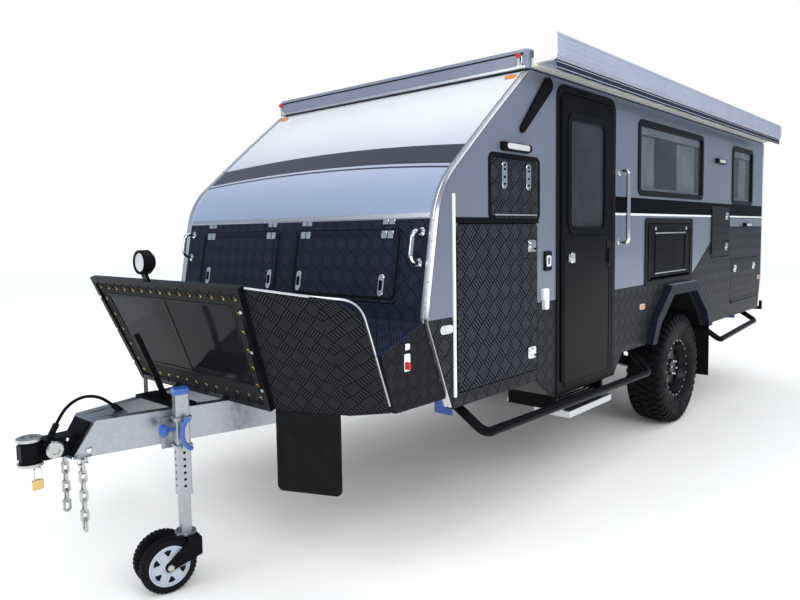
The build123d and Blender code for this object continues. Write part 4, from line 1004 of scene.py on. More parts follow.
@dataclass(frozen=True)
class WallLivery(TreadPlate):
    """Side wall colours: silver above, rolled black plate below, with a band and pinstripe between.

    Attributes:
        silver: the light panels' colour.
        line: the pinstripe's colour.
        split: height where the light panels end.
        stripe: pinstripe's lowest and highest edges.
        band_top: top of the dark band over the pinstripe.
        door_edge: x of the door's rear edge, where the band starts.
        slant_foot: x and z where the slanted end of the light panel starts.
        slant_top: x and z where it ends.
        tail_edge: x behind which the tail has a light stripe.
        tail_stripe: lowest and highest edges of the tail's stripe.
    """

    silver: Colour = (0.165, 0.192, 0.258)
    line: Colour = (0.8, 0.81, 0.83)
    split: float = 1.14
    stripe: Pair = (1.628, 1.643)
    band_top: float = 1.75
    door_edge: float = 1.2
    slant_foot: Pair = (-0.284, 1.17)
    slant_top: Pair = (-0.744, 1.422)
    tail_edge: float = -1.27
    tail_stripe: Pair = (1.545, 1.62)

    def draw(self, graph: Graph) -> None:
        """Adds the wall's nodes.

        Args:
            graph: the material's nodes.
        """
        x, _, z = graph.place()
        below, between = graph.below, graph.between
        lean = (self.slant_top[0] - self.slant_foot[0]) / (self.slant_top[1] - self.slant_foot[1])
        slid = graph.math("SUBTRACT", x, graph.math("MULTIPLY", z, lean))
        behind = graph.math("MAXIMUM", below(slid, self.slant_foot[0] - self.slant_foot[1] * lean),
                            below(x, self.slant_top[0]))
        tail = graph.math("MULTIPLY", behind, below(z, self.stripe[0]))
        light_tail = graph.math("MULTIPLY", below(x, self.tail_edge), between(z, *self.tail_stripe))
        tail = graph.math("MULTIPLY", tail, graph.math("SUBTRACT", 1.0, light_tail))
        aft = below(x, self.door_edge)
        band = graph.math("MULTIPLY", aft, between(z, self.stripe[0], self.band_top))
        dark = graph.math("MAXIMUM", graph.math("MAXIMUM", below(z, self.split), tail), band)
        pin = graph.math("MULTIPLY", aft, between(z, *self.stripe))
        bars, turned = self.pattern(graph)
        plated = graph.math("MAXIMUM", below(z, self.split), tail)
        rolled = graph.math("MULTIPLY", plated, bars)
        cloud = graph.rise(graph.noise(1.7, 4.0), 0.3, 0.75)
        light = graph.blend(cloud, self.silver, tuple(c * 0.92 for c in self.silver))
        # painted sheen: every other patch of the black plate is painted lighter, as if its bars caught the
        # light
        patch = graph.math("MULTIPLY", plated, turned)
        # painted highlight: the raised bars take the lighter bar colour, as if they glinted
        black = graph.blend(rolled, graph.blend(patch, self.colour, self.shade(self.contrast)), self.bar)
        colours = graph.blend(pin, graph.blend(dark, light, black), self.line)
        graph.surface(
            Base_Color=colours,
            Metallic=graph.choose(dark, 0.25, 0.0),
            Roughness=graph.choose(dark, 0.3, 0.28),
            Specular_IOR_Level=graph.choose(dark, 0.5, graph.choose(rolled, 0.012, 0.12)),
            Coat_Weight=graph.choose(dark, 0.3, 0.0),
            Coat_Roughness=0.08,
            Normal=graph.bump(rolled, self.depth, 0.9),
        )


@dataclass(frozen=True)
class FrontLivery(Finish):
    """The curved upper front: a painted reflection, pale above and blue-grey below, with an arched dark
    stripe and a thin line.

    Attributes:
        deep: blue-grey colour of the painted reflection low down.
        fade: lowest and highest heights of the painted reflection, blue-grey below and pale above.
        dark: the stripe's colour.
        stripe: lowest and highest edges of the stripe at the middle.
        line: lowest and highest edges of the thin line at the middle.
        arch: how far both drop towards the sides.
        half: half width of the panel.
    """

    deep: Colour = (0.27, 0.345, 0.49)
    fade: Pair = (1.7, 2.24)
    dark: Colour = (0.012, 0.016, 0.032)
    stripe: Pair = (1.9, 2.0)
    line: Pair = (1.878, 1.888)
    arch: float = 0.045
    half: float = 1.05

    def draw(self, graph: Graph) -> None:
        """Adds the panel's nodes.

        Args:
            graph: the material's nodes.
        """
        _, y, z = graph.place()
        share = graph.math("POWER", graph.math("ABSOLUTE", graph.math("DIVIDE", y, self.half)), 2.0)
        level = graph.math("ADD", z, graph.math("MULTIPLY", share, self.arch))
        mark = graph.math("MAXIMUM", graph.between(level, *self.stripe), graph.between(level, *self.line))
        cloud = graph.rise(graph.noise(1.3, 4.0), 0.3, 0.75)
        # painted reflection: blue-grey low down, turning pale towards the top, as the sky and ground would
        # show in the curved gloss
        reflected_tone = graph.blend(graph.rise(z, *self.fade), self.deep, self.colour)
        pale = graph.blend(cloud, reflected_tone, graph.blend(graph.rise(z, *self.fade), self.deep, self.shade(0.94)))
        graph.surface(
            Base_Color=graph.blend(mark, pale, self.dark),
            Metallic=0.1,
            Roughness=graph.choose(mark, 0.2, 0.3),
            Coat_Weight=0.6,
            Coat_Roughness=0.05,
            Normal=graph.bump(graph.noise(6.0), 0.002, 0.06),
        )


BLACK_PLATE = TreadPlate("black rolled plate", (0.0035, 0.0037, 0.0048), bar=(0.022, 0.0225, 0.026),
                         depth=0.0026, contrast=3.0)
QUILT_PLATE = TreadPlate("quilted hatch plate", (0.004, 0.0042, 0.0058), bar=(0.034, 0.037, 0.048),
                         pitch=0.07, bars=4, depth=0.003, contrast=5.0)
FLARE_PLATE = TreadPlate("flare plate", (0.004, 0.005, 0.009), bar=(0.014, 0.018, 0.03))
TREAD = TreadPlate("bare rolled plate", (0.06, 0.08, 0.12), bar=(0.5, 0.56, 0.66), pitch=0.03, metal=0.2)
WALL = WallLivery("side wall colours", (0.004, 0.0042, 0.0055), bar=(0.034, 0.035, 0.038), pitch=0.068,
                  depth=0.0026, contrast=5.0)
NAVY_PLATE = TreadPlate("navy quilted plate", (0.004, 0.005, 0.0115), bar=(0.02, 0.026, 0.05), pitch=0.06,
                        contrast=2.6)
NOSE = FrontLivery("front panel colours", (0.78, 0.81, 0.86))
SILVER = Paint("silver paint", (0.17, 0.2, 0.275))
WHITE = Paint("white trim", (0.78, 0.79, 0.8), rough=0.35)
CREAM = Paint("cream rail", (0.72, 0.7, 0.62), rough=0.4)
GLOSS_BLACK = Paint("gloss black steel", (0.005, 0.005, 0.0065), rough=0.14, coat=0.0, spec=0.05)
SATIN_BLACK = Paint("satin black panel", (0.006, 0.006, 0.0075), rough=0.34, coat=0.0, spec=0.03)
BLUE = Paint("blue fittings", (0.02, 0.1, 0.42), rough=0.32)
GALVANISED = Metal("galvanised steel", (0.43, 0.45, 0.48), rough=0.36, spangle=55.0)
ALUMINIUM = Metal("drawn aluminium", (0.75, 0.76, 0.78), rough=0.3)
CHROME = Metal("bright chrome", (0.83, 0.84, 0.86), rough=0.09)
BRASS = Metal("brass", (0.72, 0.5, 0.2), rough=0.25)
ZINC = Metal("zinc chain", (0.55, 0.55, 0.54), rough=0.32)
RIM_BLACK = Paint("black wheel paint", (0.006, 0.006, 0.007), rough=0.22, coat=0.05, spec=0.15)
TYRE = Rubber("tyre rubber", (0.005, 0.005, 0.006))
FLAP = Rubber("flap rubber", (0.005, 0.005, 0.0055))
TRIM_BLACK = Plastic("black trim", (0.0055, 0.0055, 0.0065), rough=0.38, spec=0.08)
PALE_HUB = Plastic("pale grey hub", (0.42, 0.47, 0.55), rough=0.45)
FLOORING = Plastic("cabin lining", (0.13, 0.12, 0.11), rough=0.6)
RED = Plastic("red knob", (0.5, 0.02, 0.02), rough=0.35)
AMBER = Glazing("amber lens", (0.9, 0.3, 0.03), clear=0.35, rough=0.12)
RED_LENS = Glazing("red lens", (0.55, 0.02, 0.02), clear=0.35, rough=0.12)
CLEAR_LENS = Glazing("clear lens", (0.85, 0.87, 0.9), clear=0.4, rough=0.15)
GLASS = Glazing("smoked window", (0.5, 0.53, 0.58), clear=0.96, bend=1.18)
FILM = Glazing("clear screen film", (0.012, 0.0125, 0.015), clear=0.3, rough=0.06, bend=1.12)
CASE = Paint("awning case", (0.33, 0.375, 0.48), rough=0.4)
VALANCE = Cloth("navy valance", (0.01, 0.016, 0.04), light=(0.03, 0.045, 0.1))
BELLOWS = Cloth("grey bellows cloth", (0.12, 0.125, 0.13), light=(0.2, 0.2, 0.21))
SCREEN = Cloth("screen border", (0.006, 0.006, 0.007), light=(0.045, 0.047, 0.05), threads=260.0)
CURTAIN = Cloth("curtain cloth", (0.6, 0.6, 0.58), light=(0.85, 0.85, 0.83), threads=600.0)
PALE_STRIP = Plastic("pale blind case", (0.68, 0.69, 0.7), rough=0.45)
PALE_FLOOR = Paint("pale floor", (0.96, 0.96, 0.96), rough=0.9, coat=0.0, spec=0.1, mottle=0.015)


@dataclass(frozen=True)
class SoftBox:
    """A rectangular studio light.

    Attributes:
        name: the light's name.
        place: where it stands.
        target: what it points at.
        size: width and height.
        power: in watts.
    """

    name: str
    place: Place
    target: Place
    size: Pair
    power: float

    def build(self) -> None:
        """Adds the light."""
        data = bpy.data.lights.new(self.name, "AREA")
        data.shape = "RECTANGLE"
        data.size, data.size_y = self.size
        data.energy = self.power
        lamp = bpy.data.objects.new(self.name, data)
        lamp.location = spot(*self.place)
        lamp.rotation_euler = (spot(*self.target) - lamp.location).to_track_quat("-Z", "Y").to_euler()
        bpy.context.scene.collection.objects.link(lamp)


@dataclass
class Studio:
    """Floor, white surround, lights and the camera at the photo's angle.

    Attributes:
        eye: where the camera stands.
        heading: the way it looks.
        roll: its turn about that heading, in degrees.
        lens: focal length, in millimetres.
        sensor: sensor width, in millimetres.
        shift: lens shift across and up.
        far: distance that the camera sees to.
        floor_span: width of the floor.
        floor_drop: how far the floor lies below the tyres.
        surround: ray type, colour and strength of the surrounding light, each laid over the one before.
        lights: the soft boxes.
    """

    eye: Place = (5.423, 2.982, 1.540)
    heading: Place = (-0.7471, -0.6605, -0.0744)
    roll: float = -0.83
    lens: float = 30.62
    sensor: float = 36.0
    shift: Pair = (-0.00875, -0.0219)
    far: float = 200.0
    floor_span: float = 60.0
    floor_drop: float = 0.002
    surround: tuple[tuple[str, Colour, float], ...] = (
        ("Is Diffuse Ray", (0.96, 0.98, 1.0), 1.08),
        ("Is Glossy Ray", (0.68, 0.82, 1.0), 0.45),
        ("Is Camera Ray", (1.0, 1.0, 1.0), 1.0),
    )
    lights: tuple[SoftBox, ...] = (
        SoftBox("key light", (5.0, 6.5, 5.6), (1.0, 0.2, 1.2), (6.0, 4.0), 210.0),
        SoftBox("front light", (9.5, -1.5, 3.6), (2.5, -0.2, 1.2), (4.5, 3.0), 95.0),
        SoftBox("top light", (0.6, 0.4, 7.2), (0.6, 0.0, 0.0), (8.0, 5.0), 125.0),
        SoftBox("far light", (-5.0, -5.5, 4.5), (0.0, -0.8, 1.4), (5.0, 4.0), 90.0),
    )

    def build(self) -> None:
        """Adds everything that isn't the caravan."""
        self.floor()
        self.world()
        for light in self.lights:
            light.build()
        self.camera()

    def floor(self) -> None:
        """Adds the pale floor."""
        half = self.floor_span / 2
        shape = Shape()
        shape.loft([[Vector((a, b, -self.floor_drop)) for a in (-half, 0, half)] for b in (-half, 0, half)],
                   closed=False, caps=False)
        show("studio_floor", shape, PALE_FLOOR, body="")

    def world(self) -> None:
        """Adds soft surrounding light, white where the camera looks past the floor."""
        world = bpy.data.worlds.new("studio surround")
        bpy.context.scene.world = world
        world.use_nodes = True
        nodes, links = world.node_tree.nodes, world.node_tree.links
        nodes.clear()
        paths, end = nodes.new("ShaderNodeLightPath"), nodes.new("ShaderNodeOutputWorld")
        made: Socket | None = None
        for ray, colour, strength in self.surround:
            sky = nodes.new("ShaderNodeBackground")
            sky.inputs["Color"].default_value = (*colour, 1.0)
            sky.inputs["Strength"].default_value = strength
            if made is None:
                made = sky.outputs[0]
                continue
            mixed = nodes.new("ShaderNodeMixShader")
            links.new(paths.outputs[ray], mixed.inputs[0])
            links.new(made, mixed.inputs[1])
            links.new(sky.outputs[0], mixed.inputs[2])
            made = mixed.outputs[0]
        links.new(made, end.inputs[0])

    def camera(self) -> None:
        """Adds the camera."""
        data = bpy.data.cameras.new("photo camera")
        data.sensor_fit = "HORIZONTAL"
        data.sensor_width = self.sensor
        data.lens = self.lens
        data.shift_x, data.shift_y = self.shift
        data.clip_end = self.far
        ahead = Vector(self.heading).normalized()
        right = ahead.cross(Z).normalized()
        up = right.cross(ahead)
        roll = math.radians(self.roll)
        level = right * math.cos(roll) + up * math.sin(roll)
        top = up * math.cos(roll) - right * math.sin(roll)
        camera = bpy.data.objects.new("photo camera", data)
        facing = Matrix((level, top, -ahead)).transposed().to_4x4()
        camera.matrix_world = Matrix.Translation(spot(*self.eye)) @ facing
        bpy.context.scene.collection.objects.link(camera)
        bpy.context.scene.camera = camera
        bpy.context.scene.view_settings.view_transform = "Standard"


@dataclass
class RoadWheel:
    """One road wheel: tyre with its tread, the rim's bolts and nuts, and the plate on its flare.

    Attributes:
        side: which wheel.
        radius: over the tread blocks.
        width: across the sidewalls.
        bead: radius where the tyre sits on the rim.
        track: distance of the wheel's middle from the centre plane.
        groove: depth of the tread.
        blocks: tread blocks round each row.
        rows: offset across, half width and lag of each row of blocks.
        skew: turn of the blocks in the middle row and in the outer rows, in degrees.
        bolt_ring: number of rim bolts and the radius they stand on.
        nut_ring: number of wheel nuts, the radius they stand on and the first one's angle, in degrees.
        flare_line: distance of the flare's plate from the centre plane.
        flare_level: least upward share of the surface that the plate lies on.
    """

    side: Side
    radius: float = 0.43
    width: float = 0.27
    bead: float = 0.228
    track: float = 0.93
    groove: float = 0.012
    blocks: int = 44
    rows: tuple[Place, ...] = ((0.0, 0.034, 0.0), (0.068, 0.03, 0.5), (-0.068, 0.03, 0.5))
    skew: Pair = (-18.0, 14.0)
    bolt_ring: tuple[int, float] = (20, 0.2145)
    nut_ring: tuple[int, float, float] = (6, 0.056, 12.0)
    flare_line: float = 1.078
    flare_level: float = 0.97

    @property
    def body(self) -> str:
        """The CAD body that carries the wheel."""
        return f"wheel_{self.side.word}"

    @property
    def hub(self) -> Vector:
        """The wheel's middle."""
        return spot(0, self.side.value * self.track, self.radius)

    def build(self) -> None:
        """Adds the tyre."""
        shape = Shape()
        base, half = self.radius - self.groove, self.width / 2
        flank = [(self.bead, 0.8), (self.bead + 0.02, 0.9), (self.bead + 0.075, 0.985),
                 (self.bead + 0.13, 0.985), (base - 0.022, 0.93), (base - 0.004, 0.82), (base, 0.62)]
        shape.turned(self.hub, Y, ring_profile(flank, half), sides=96)
        middle_skew, outer_skew = self.skew
        pitch = 2 * math.pi * self.radius / self.blocks
        for step in range(self.blocks):
            for offset, half_row, lag in self.rows:
                tread = self.seat(360 * (step + lag) / self.blocks, self.radius)
                block = tread.moved(0, offset, outer_skew if offset else middle_skew)
                shape.plate(block, (pitch * 0.72, half_row * 1.7), 0.006, self.groove + 0.004, 0.0025,
                            -self.groove - 0.003, 1)
            for flank_side in (1, -1):
                self.lug(shape, 360 * (step + 0.25) / self.blocks, flank_side, pitch)
        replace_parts(show(f"tyre_tread_{self.side.word}", shape, TYRE, self.body, 28.0),
                    f"tyre_{self.side.word}")

    def spoke(self, angle: float) -> Vector:
        """Points from the hub to a place round the wheel, in degrees."""
        turn = math.radians(angle)
        return X * math.cos(turn) + Z * math.sin(turn)

    def seat(self, angle: float, radius: float) -> Seat:
        """Makes a seat round the wheel: along the tread, across the tyre and out from the hub."""
        out = self.spoke(angle)
        return Seat(self.hub + out * radius, Y.cross(out), Y, out)

    def lug(self, shape: Shape, angle: float, flank: int, pitch: float) -> None:
        """Adds a shoulder lug that folds over onto the sidewall.

        Args:
            shape: the tyre's surface.
            angle: place round the wheel, in degrees.
            flank: which side of the tyre.
            pitch: distance between lugs.
        """
        seat = self.seat(angle, 0.0)
        half, top = self.width / 2, self.radius
        long = pitch * (0.62 if int(angle) % 2 else 0.5) / 2
        outline = [(0.72, top), (0.9, top - 0.008), (0.975, top - 0.03), (0.995, top - 0.062),
                   (0.97, top - 0.066), (0.9, top - 0.045), (0.72, top - self.groove - 0.004)]
        shape.loft([[seat.at(a * long, flank * share * half, r) for share, r in outline] for a in (-1, 1)])

    def dress(self) -> None:
        """Paints the rim, and adds the flare's plate and the rim's bolts and nuts."""
        rim = f"rim_{self.side.word}"
        dress(RIM_BLACK, rim)
        self.flare_plate()
        outer = Y * self.side.value
        lip = spot(0, self.side.value * node_face(rim, self.side), self.radius)
        bolts, nuts = Shape(), Shape()
        count, reach = self.bolt_ring
        for step in range(count):
            bolts.turned(lip + self.spoke(360 / count * step) * reach, outer, RIM_BOLT, 6)
        count, reach, start = self.nut_ring
        for step in range(count):
            sight = lip + self.spoke(360 / count * step + start) * reach + outer * 0.2
            hit, point, _, _ = frame["nodes"][rim].ray_cast(sight, -outer)
            if hit:
                nuts.turned(point, outer, WHEEL_NUT, 6)
        show(f"rim_bolts_{self.side.word}", bolts, ALUMINIUM, self.body)
        show(f"wheel_nuts_{self.side.word}", nuts, CHROME, self.body)

    def flare_plate(self) -> None:
        """Adds the bare rolled plate on the flare's flat top."""
        above = spot(0, self.side.value * self.flare_line, NEAR_SIGHT)
        met = (strike("wheel_flares", above + X * (0.01 * k), -Z) for k in range(-60, 61))
        tops = [point for point, out in met if out.z > self.flare_level]
        plate = Shape()
        seat = Seat((tops[0] + tops[-1]) / 2, X, Y, Z)
        plate.plate(seat, ((tops[-1] - tops[0]).length - 0.02, 0.044), 0.006, 0.003, 0.001, SINK)
        show(f"flare_tread_{self.side.word}", plate, TREAD)


@dataclass
class Drawbar:
    """The galvanised nose: rails, coupling, chains, hand brake and wiring lead.

    Attributes:
        lead_points: the lead's route from its gland to its socket.
        lead_width: the lead's diameter.
        yoke: x, distance from the centre plane and z of the cross pivot's caps.
        pin: x of the coupling's upright pin.
        pin_ends: heights of the pin's upper and lower caps.
        bolt: the side bolts' middle: x from the pin, distance from the centre plane and z.
        shackle: x, distance from the centre plane and z of each chain's shackle.
        shackle_nut: x, distance from the centre plane and z of the nut beside it.
        lock: the padlock's middle: x from the pin, y and z.
        hasp: height where the padlock's loop starts.
    """

    lead_points: tuple[Place, ...] = (
        (4.050, 0.000, 0.782), (4.082, 0.000, 0.812), (4.120, 0.002, 0.836), (4.165, 0.005, 0.848),
        (4.208, 0.008, 0.844), (4.248, 0.010, 0.824), (4.278, 0.010, 0.793), (4.298, 0.008, 0.756),
    )
    lead_width: float = 0.014
    yoke: Place = (4.3295, 0.06, 0.662)
    pin: float = 4.405
    pin_ends: Pair = (0.72, 0.604)
    bolt: Place = (-0.1, 0.042, 0.69)
    shackle: Place = (4.235, 0.09, 0.618)
    shackle_nut: Place = (4.205, 0.096, 0.638)
    lock: Place = (-0.012, 0.035, 0.528)
    hasp: float = 0.548

    def build(self) -> None:
        """Adds the wiring lead along its route."""
        data = bpy.data.curves.new("wiring_lead_cord", "CURVE")
        data.dimensions = "3D"
        data.bevel_depth = self.lead_width / 2
        data.bevel_resolution = 4
        data.use_fill_caps = True
        data.resolution_u = 10
        spline = data.splines.new("NURBS")
        spline.points.add(len(self.lead_points) - 1)
        route = [spot(*p) for p in self.lead_points]
        for point, place in zip(spline.points, route):
            point.co = (*place, 1.0)
        spline.order_u = 3
        spline.use_endpoint_u = True
        data.materials.append(TRIM_BLACK.material())
        lead = bpy.data.objects.new("wiring_lead_cord", data)
        bpy.context.scene.collection.objects.link(lead)
        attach(lead, "trailer")
        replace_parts(lead, "wiring_lead")

    def dress(self) -> None:
        """Finishes the nose's CAD pieces."""
        dress(GALVANISED, "chassis_frame", "jockey_leg", "jockey_stem", "jockey_clamp")
        dress(SATIN_BLACK, "jockey_fork", "coupling", "brake_lever")
        dress(ZINC, "safety_chains")
        dress(TRIM_BLACK, "lead_fittings")
        dress(TYRE, "jockey_tyres")
        dress(PALE_HUB, "jockey_hubs")
        self.coupling()

    def coupling(self) -> None:
        """Adds the coupling's caps and bolts, the chain shackles and the padlock."""
        caps, bolts, bows, lock = Shape(), Shape(), Shape(), Shape()
        bow = ((-0.024, -0.008), (-0.026, -0.03), (0.0, -0.05), (0.026, -0.03), (0.024, -0.008))
        for side in Side:
            out = Y * side.value
            x, y, z = self.yoke
            caps.turned(spot(x, side.value * y, z), out, YOKE_CAP, 28)
            x, y, z = self.bolt
            for a in (-0.032, 0.028):
                bolts.turned(spot(self.pin + x + a, side.value * y, z), out, COUPLING_BOLT, 6)
            x, y, z = self.shackle
            bows.tube(bent([spot(x + a, side.value * y, z + b) for a, b in bow], 0.016, 4), 0.0065, 10)
            bows.tube([spot(x + a, side.value * y, z - 0.004) for a in (-0.038, 0.0, 0.038)], 0.0075, 8)
            x, y, z = self.shackle_nut
            bows.turned(spot(x, side.value * y, z), out, SHACKLE_NUT, 6)
        for z, way in zip(self.pin_ends, (Z, -Z)):
            caps.turned(spot(self.pin, 0, z), way, PIN_CAP, 32)
        loop = ((-0.014, 0.0), (-0.014, 0.05), (0.014, 0.05), (0.014, 0.0))
        x, y, z = self.pin + self.lock[0], self.lock[1], self.lock[2]
        bows.tube(bent([spot(x + a, y, self.hasp + b) for a, b in loop], 0.012, 4), 0.004, 8)
        lock.plate(Seat(spot(x, y, z), X, Z, Y), (0.042, 0.042), 0.006, 0.016, 0.002, -0.008)
        show("coupling_caps", caps, ZINC)
        show("coupling_bolts", bolts, CHROME)
        show("chain_shackles", bows, CHROME)
        show("padlock", lock, BRASS)


@dataclass
class JockeyWheel:
    """Jockey wheel dressing: tyres, hub faces, punched leg, collars, cap, handle and knob.

    Attributes:
        radius: tyre radius.
        bead: radius of the hub.
        width: width of one tyre.
        spread: distance between the two tyres' middles.
        leg_side: width of the square leg.
        leg_top: height of the leg's cap.
        slant: heading of the leg's faces, in degrees.
        blocks: tread blocks round each row.
        collars: heights of the two collars.
        collar_bolts: heights of their bolts.
        holes: number of holes up the leg, height of the lowest and distance between them.
        knob_height: height of the clamp's knob.
    """

    radius: float = 0.12
    bead: float = 0.087
    width: float = 0.048
    spread: float = 0.094
    leg_side: float = 0.06
    leg_top: float = 0.868
    slant: float = -14.6
    blocks: int = 40
    collars: Pair = (0.612, 0.735)
    collar_bolts: Pair = (0.62, 0.744)
    holes: tuple[int, float, float] = (7, 0.44, 0.03)
    knob_height: float = 0.69

    def build(self) -> None:
        """Adds the two ribbed tyres."""
        centre, axle = joint_at("jockey_roll")
        shape = Shape()
        half = self.width / 2
        over = self.radius
        flank = [(self.bead, 0.9), (self.bead + 0.008, 0.98), (over - 0.02, 0.99), (over - 0.007, 0.9),
                 (over - 0.002, 0.66), (over, 0.45), (over, 0.34), (over - 0.005, 0.3), (over - 0.005, 0.16),
                 (over, 0.12)]
        profile = [(r - 0.003 if r > over - 0.006 else r, h) for r, h in ring_profile(flank, half)]
        for hand in (1, -1):
            middle = centre + axle * hand * self.spread / 2
            shape.turned(middle, axle, profile, 56)
            for step in range(self.blocks):
                for row, lag in ((-0.0125, 0.0), (0.0, 0.5), (0.0125, 0.0)):
                    out = Matrix.Rotation(2 * math.pi * (step + lag) / self.blocks, 3, axle) @ Z
                    seat = Seat(middle + out * self.radius + axle * row, axle.cross(out), axle, out)
                    shape.plate(seat, (0.0135, 0.0105), 0.002, 0.005, 0.001, -0.0055, 1)
        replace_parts(show("jockey_ribbed_tyres", shape, TYRE, "jockey_wheels", 30.0), "jockey_tyres")

    def dress(self) -> None:
        """Adds the hub faces and the leg's fittings."""
        self.hub_faces()
        top, _ = joint_at("jockey_castor")
        leg = Matrix.Rotation(math.radians(self.slant), 3, Z)
        ahead, outward = leg @ X, leg @ Y
        foot = Vector((top.x, top.y, 0.0))
        cap, collar, flange = Shape(), Shape(), Shape()
        seat = Seat(foot + Z * (self.leg_top - 0.02), ahead, outward, Z)
        cap.plate(seat, (0.066, 0.066), 0.009, 0.026, 0.003)
        for low in self.collars:
            seat = Seat(foot + Z * low, ahead, outward, Z)
            collar.border(seat, (0.076, 0.076), 0.009, 0.0075, 0.016, 0.002)
        for hand in (1, -1):
            for z in self.collar_bolts:
                tip = foot + ahead * hand * 0.024 + outward * 0.038 + Z * z
                collar.turned(tip, outward, COLLAR_BOLT, 6)
        flange.turned(top, Z, STEM_FLANGE, 32)
        show("jockey_cap", cap, BLUE, "jockey_leg")
        show("jockey_collars", collar, GALVANISED, "jockey_leg")
        show("jockey_flange", flange, ZINC, "jockey_fork")
        # painted shade: each punched hole is a thin black plate on the leg's face, standing for the shade
        # inside the hole
        holes = Shape()
        count, lowest, apart = self.holes
        for step in range(count):
            for face, along in ((ahead, outward), (outward, ahead)):
                seat = Seat(foot + face * (self.leg_side / 2) + Z * (lowest + apart * step), along, Z, face)
                holes.plate(seat, (0.013, 0.013), 0.0064, 0.0012, 0.0003, -0.0002, 3)
        show("jockey_leg_holes", holes, TRIM_BLACK, "jockey_leg")
        handle = Shape()
        grip = foot + outward * (self.leg_side / 2 + 0.032)
        bow = ((0.018, 0.75), (0.006, 0.742), (-0.012, 0.715), (-0.016, 0.68), (-0.01, 0.645), (0.012, 0.618),
               (0.026, 0.615))
        handle.tube(bent([grip + ahead * -a + outward * 0.004 + Z * z for a, z in bow], 0.012, 3), 0.0095)
        show("jockey_handle", handle, BLUE, "jockey_leg")
        knob = Shape()
        pin = foot + ahead * 0.058 + outward * -0.012 + Z * self.knob_height
        knob.turned(pin, ahead, CLAMP_KNOB, 6)
        show("jockey_knob", knob, BLUE, "jockey_leg")

    def hub_faces(self) -> None:
        """Adds each hub's raised rim, its windows as black plates of painted shade, and its axle nut."""
        centre, axle = joint_at("jockey_roll")
        rims, windows, nuts = Shape(), Shape(), Shape()
        for hand in (1, -1):
            out = axle * hand
            face = centre + out * (self.spread / 2 + self.width / 2 - 0.003)
            rims.turned(face, out, HUB_RIM, 40)
            # painted shade: each window in the hub is a black plate standing for the shade behind it
            for step in range(6):
                turn = Matrix.Rotation(math.radians(60 * step + 20), 3, out)
                reach = turn @ out.orthogonal().normalized()
                side = out.cross(reach)
                corners = ((0.046, 0.003), (0.067, 0.016), (0.072, 0.0), (0.067, -0.016), (0.046, -0.003))
                windows.loft([[face + reach * a + side * b + out * c for a, b in corners]
                              for c in (-0.004, 0.0008)])
            nuts.turned(face + out * 0.014, out, AXLE_NUT, 6)
        show("jockey_hub_rims", rims, PALE_HUB, "jockey_wheels")
        show("jockey_hub_windows", windows, TRIM_BLACK, "jockey_wheels")
        show("jockey_axle_nuts", nuts, ZINC, "jockey_wheels")


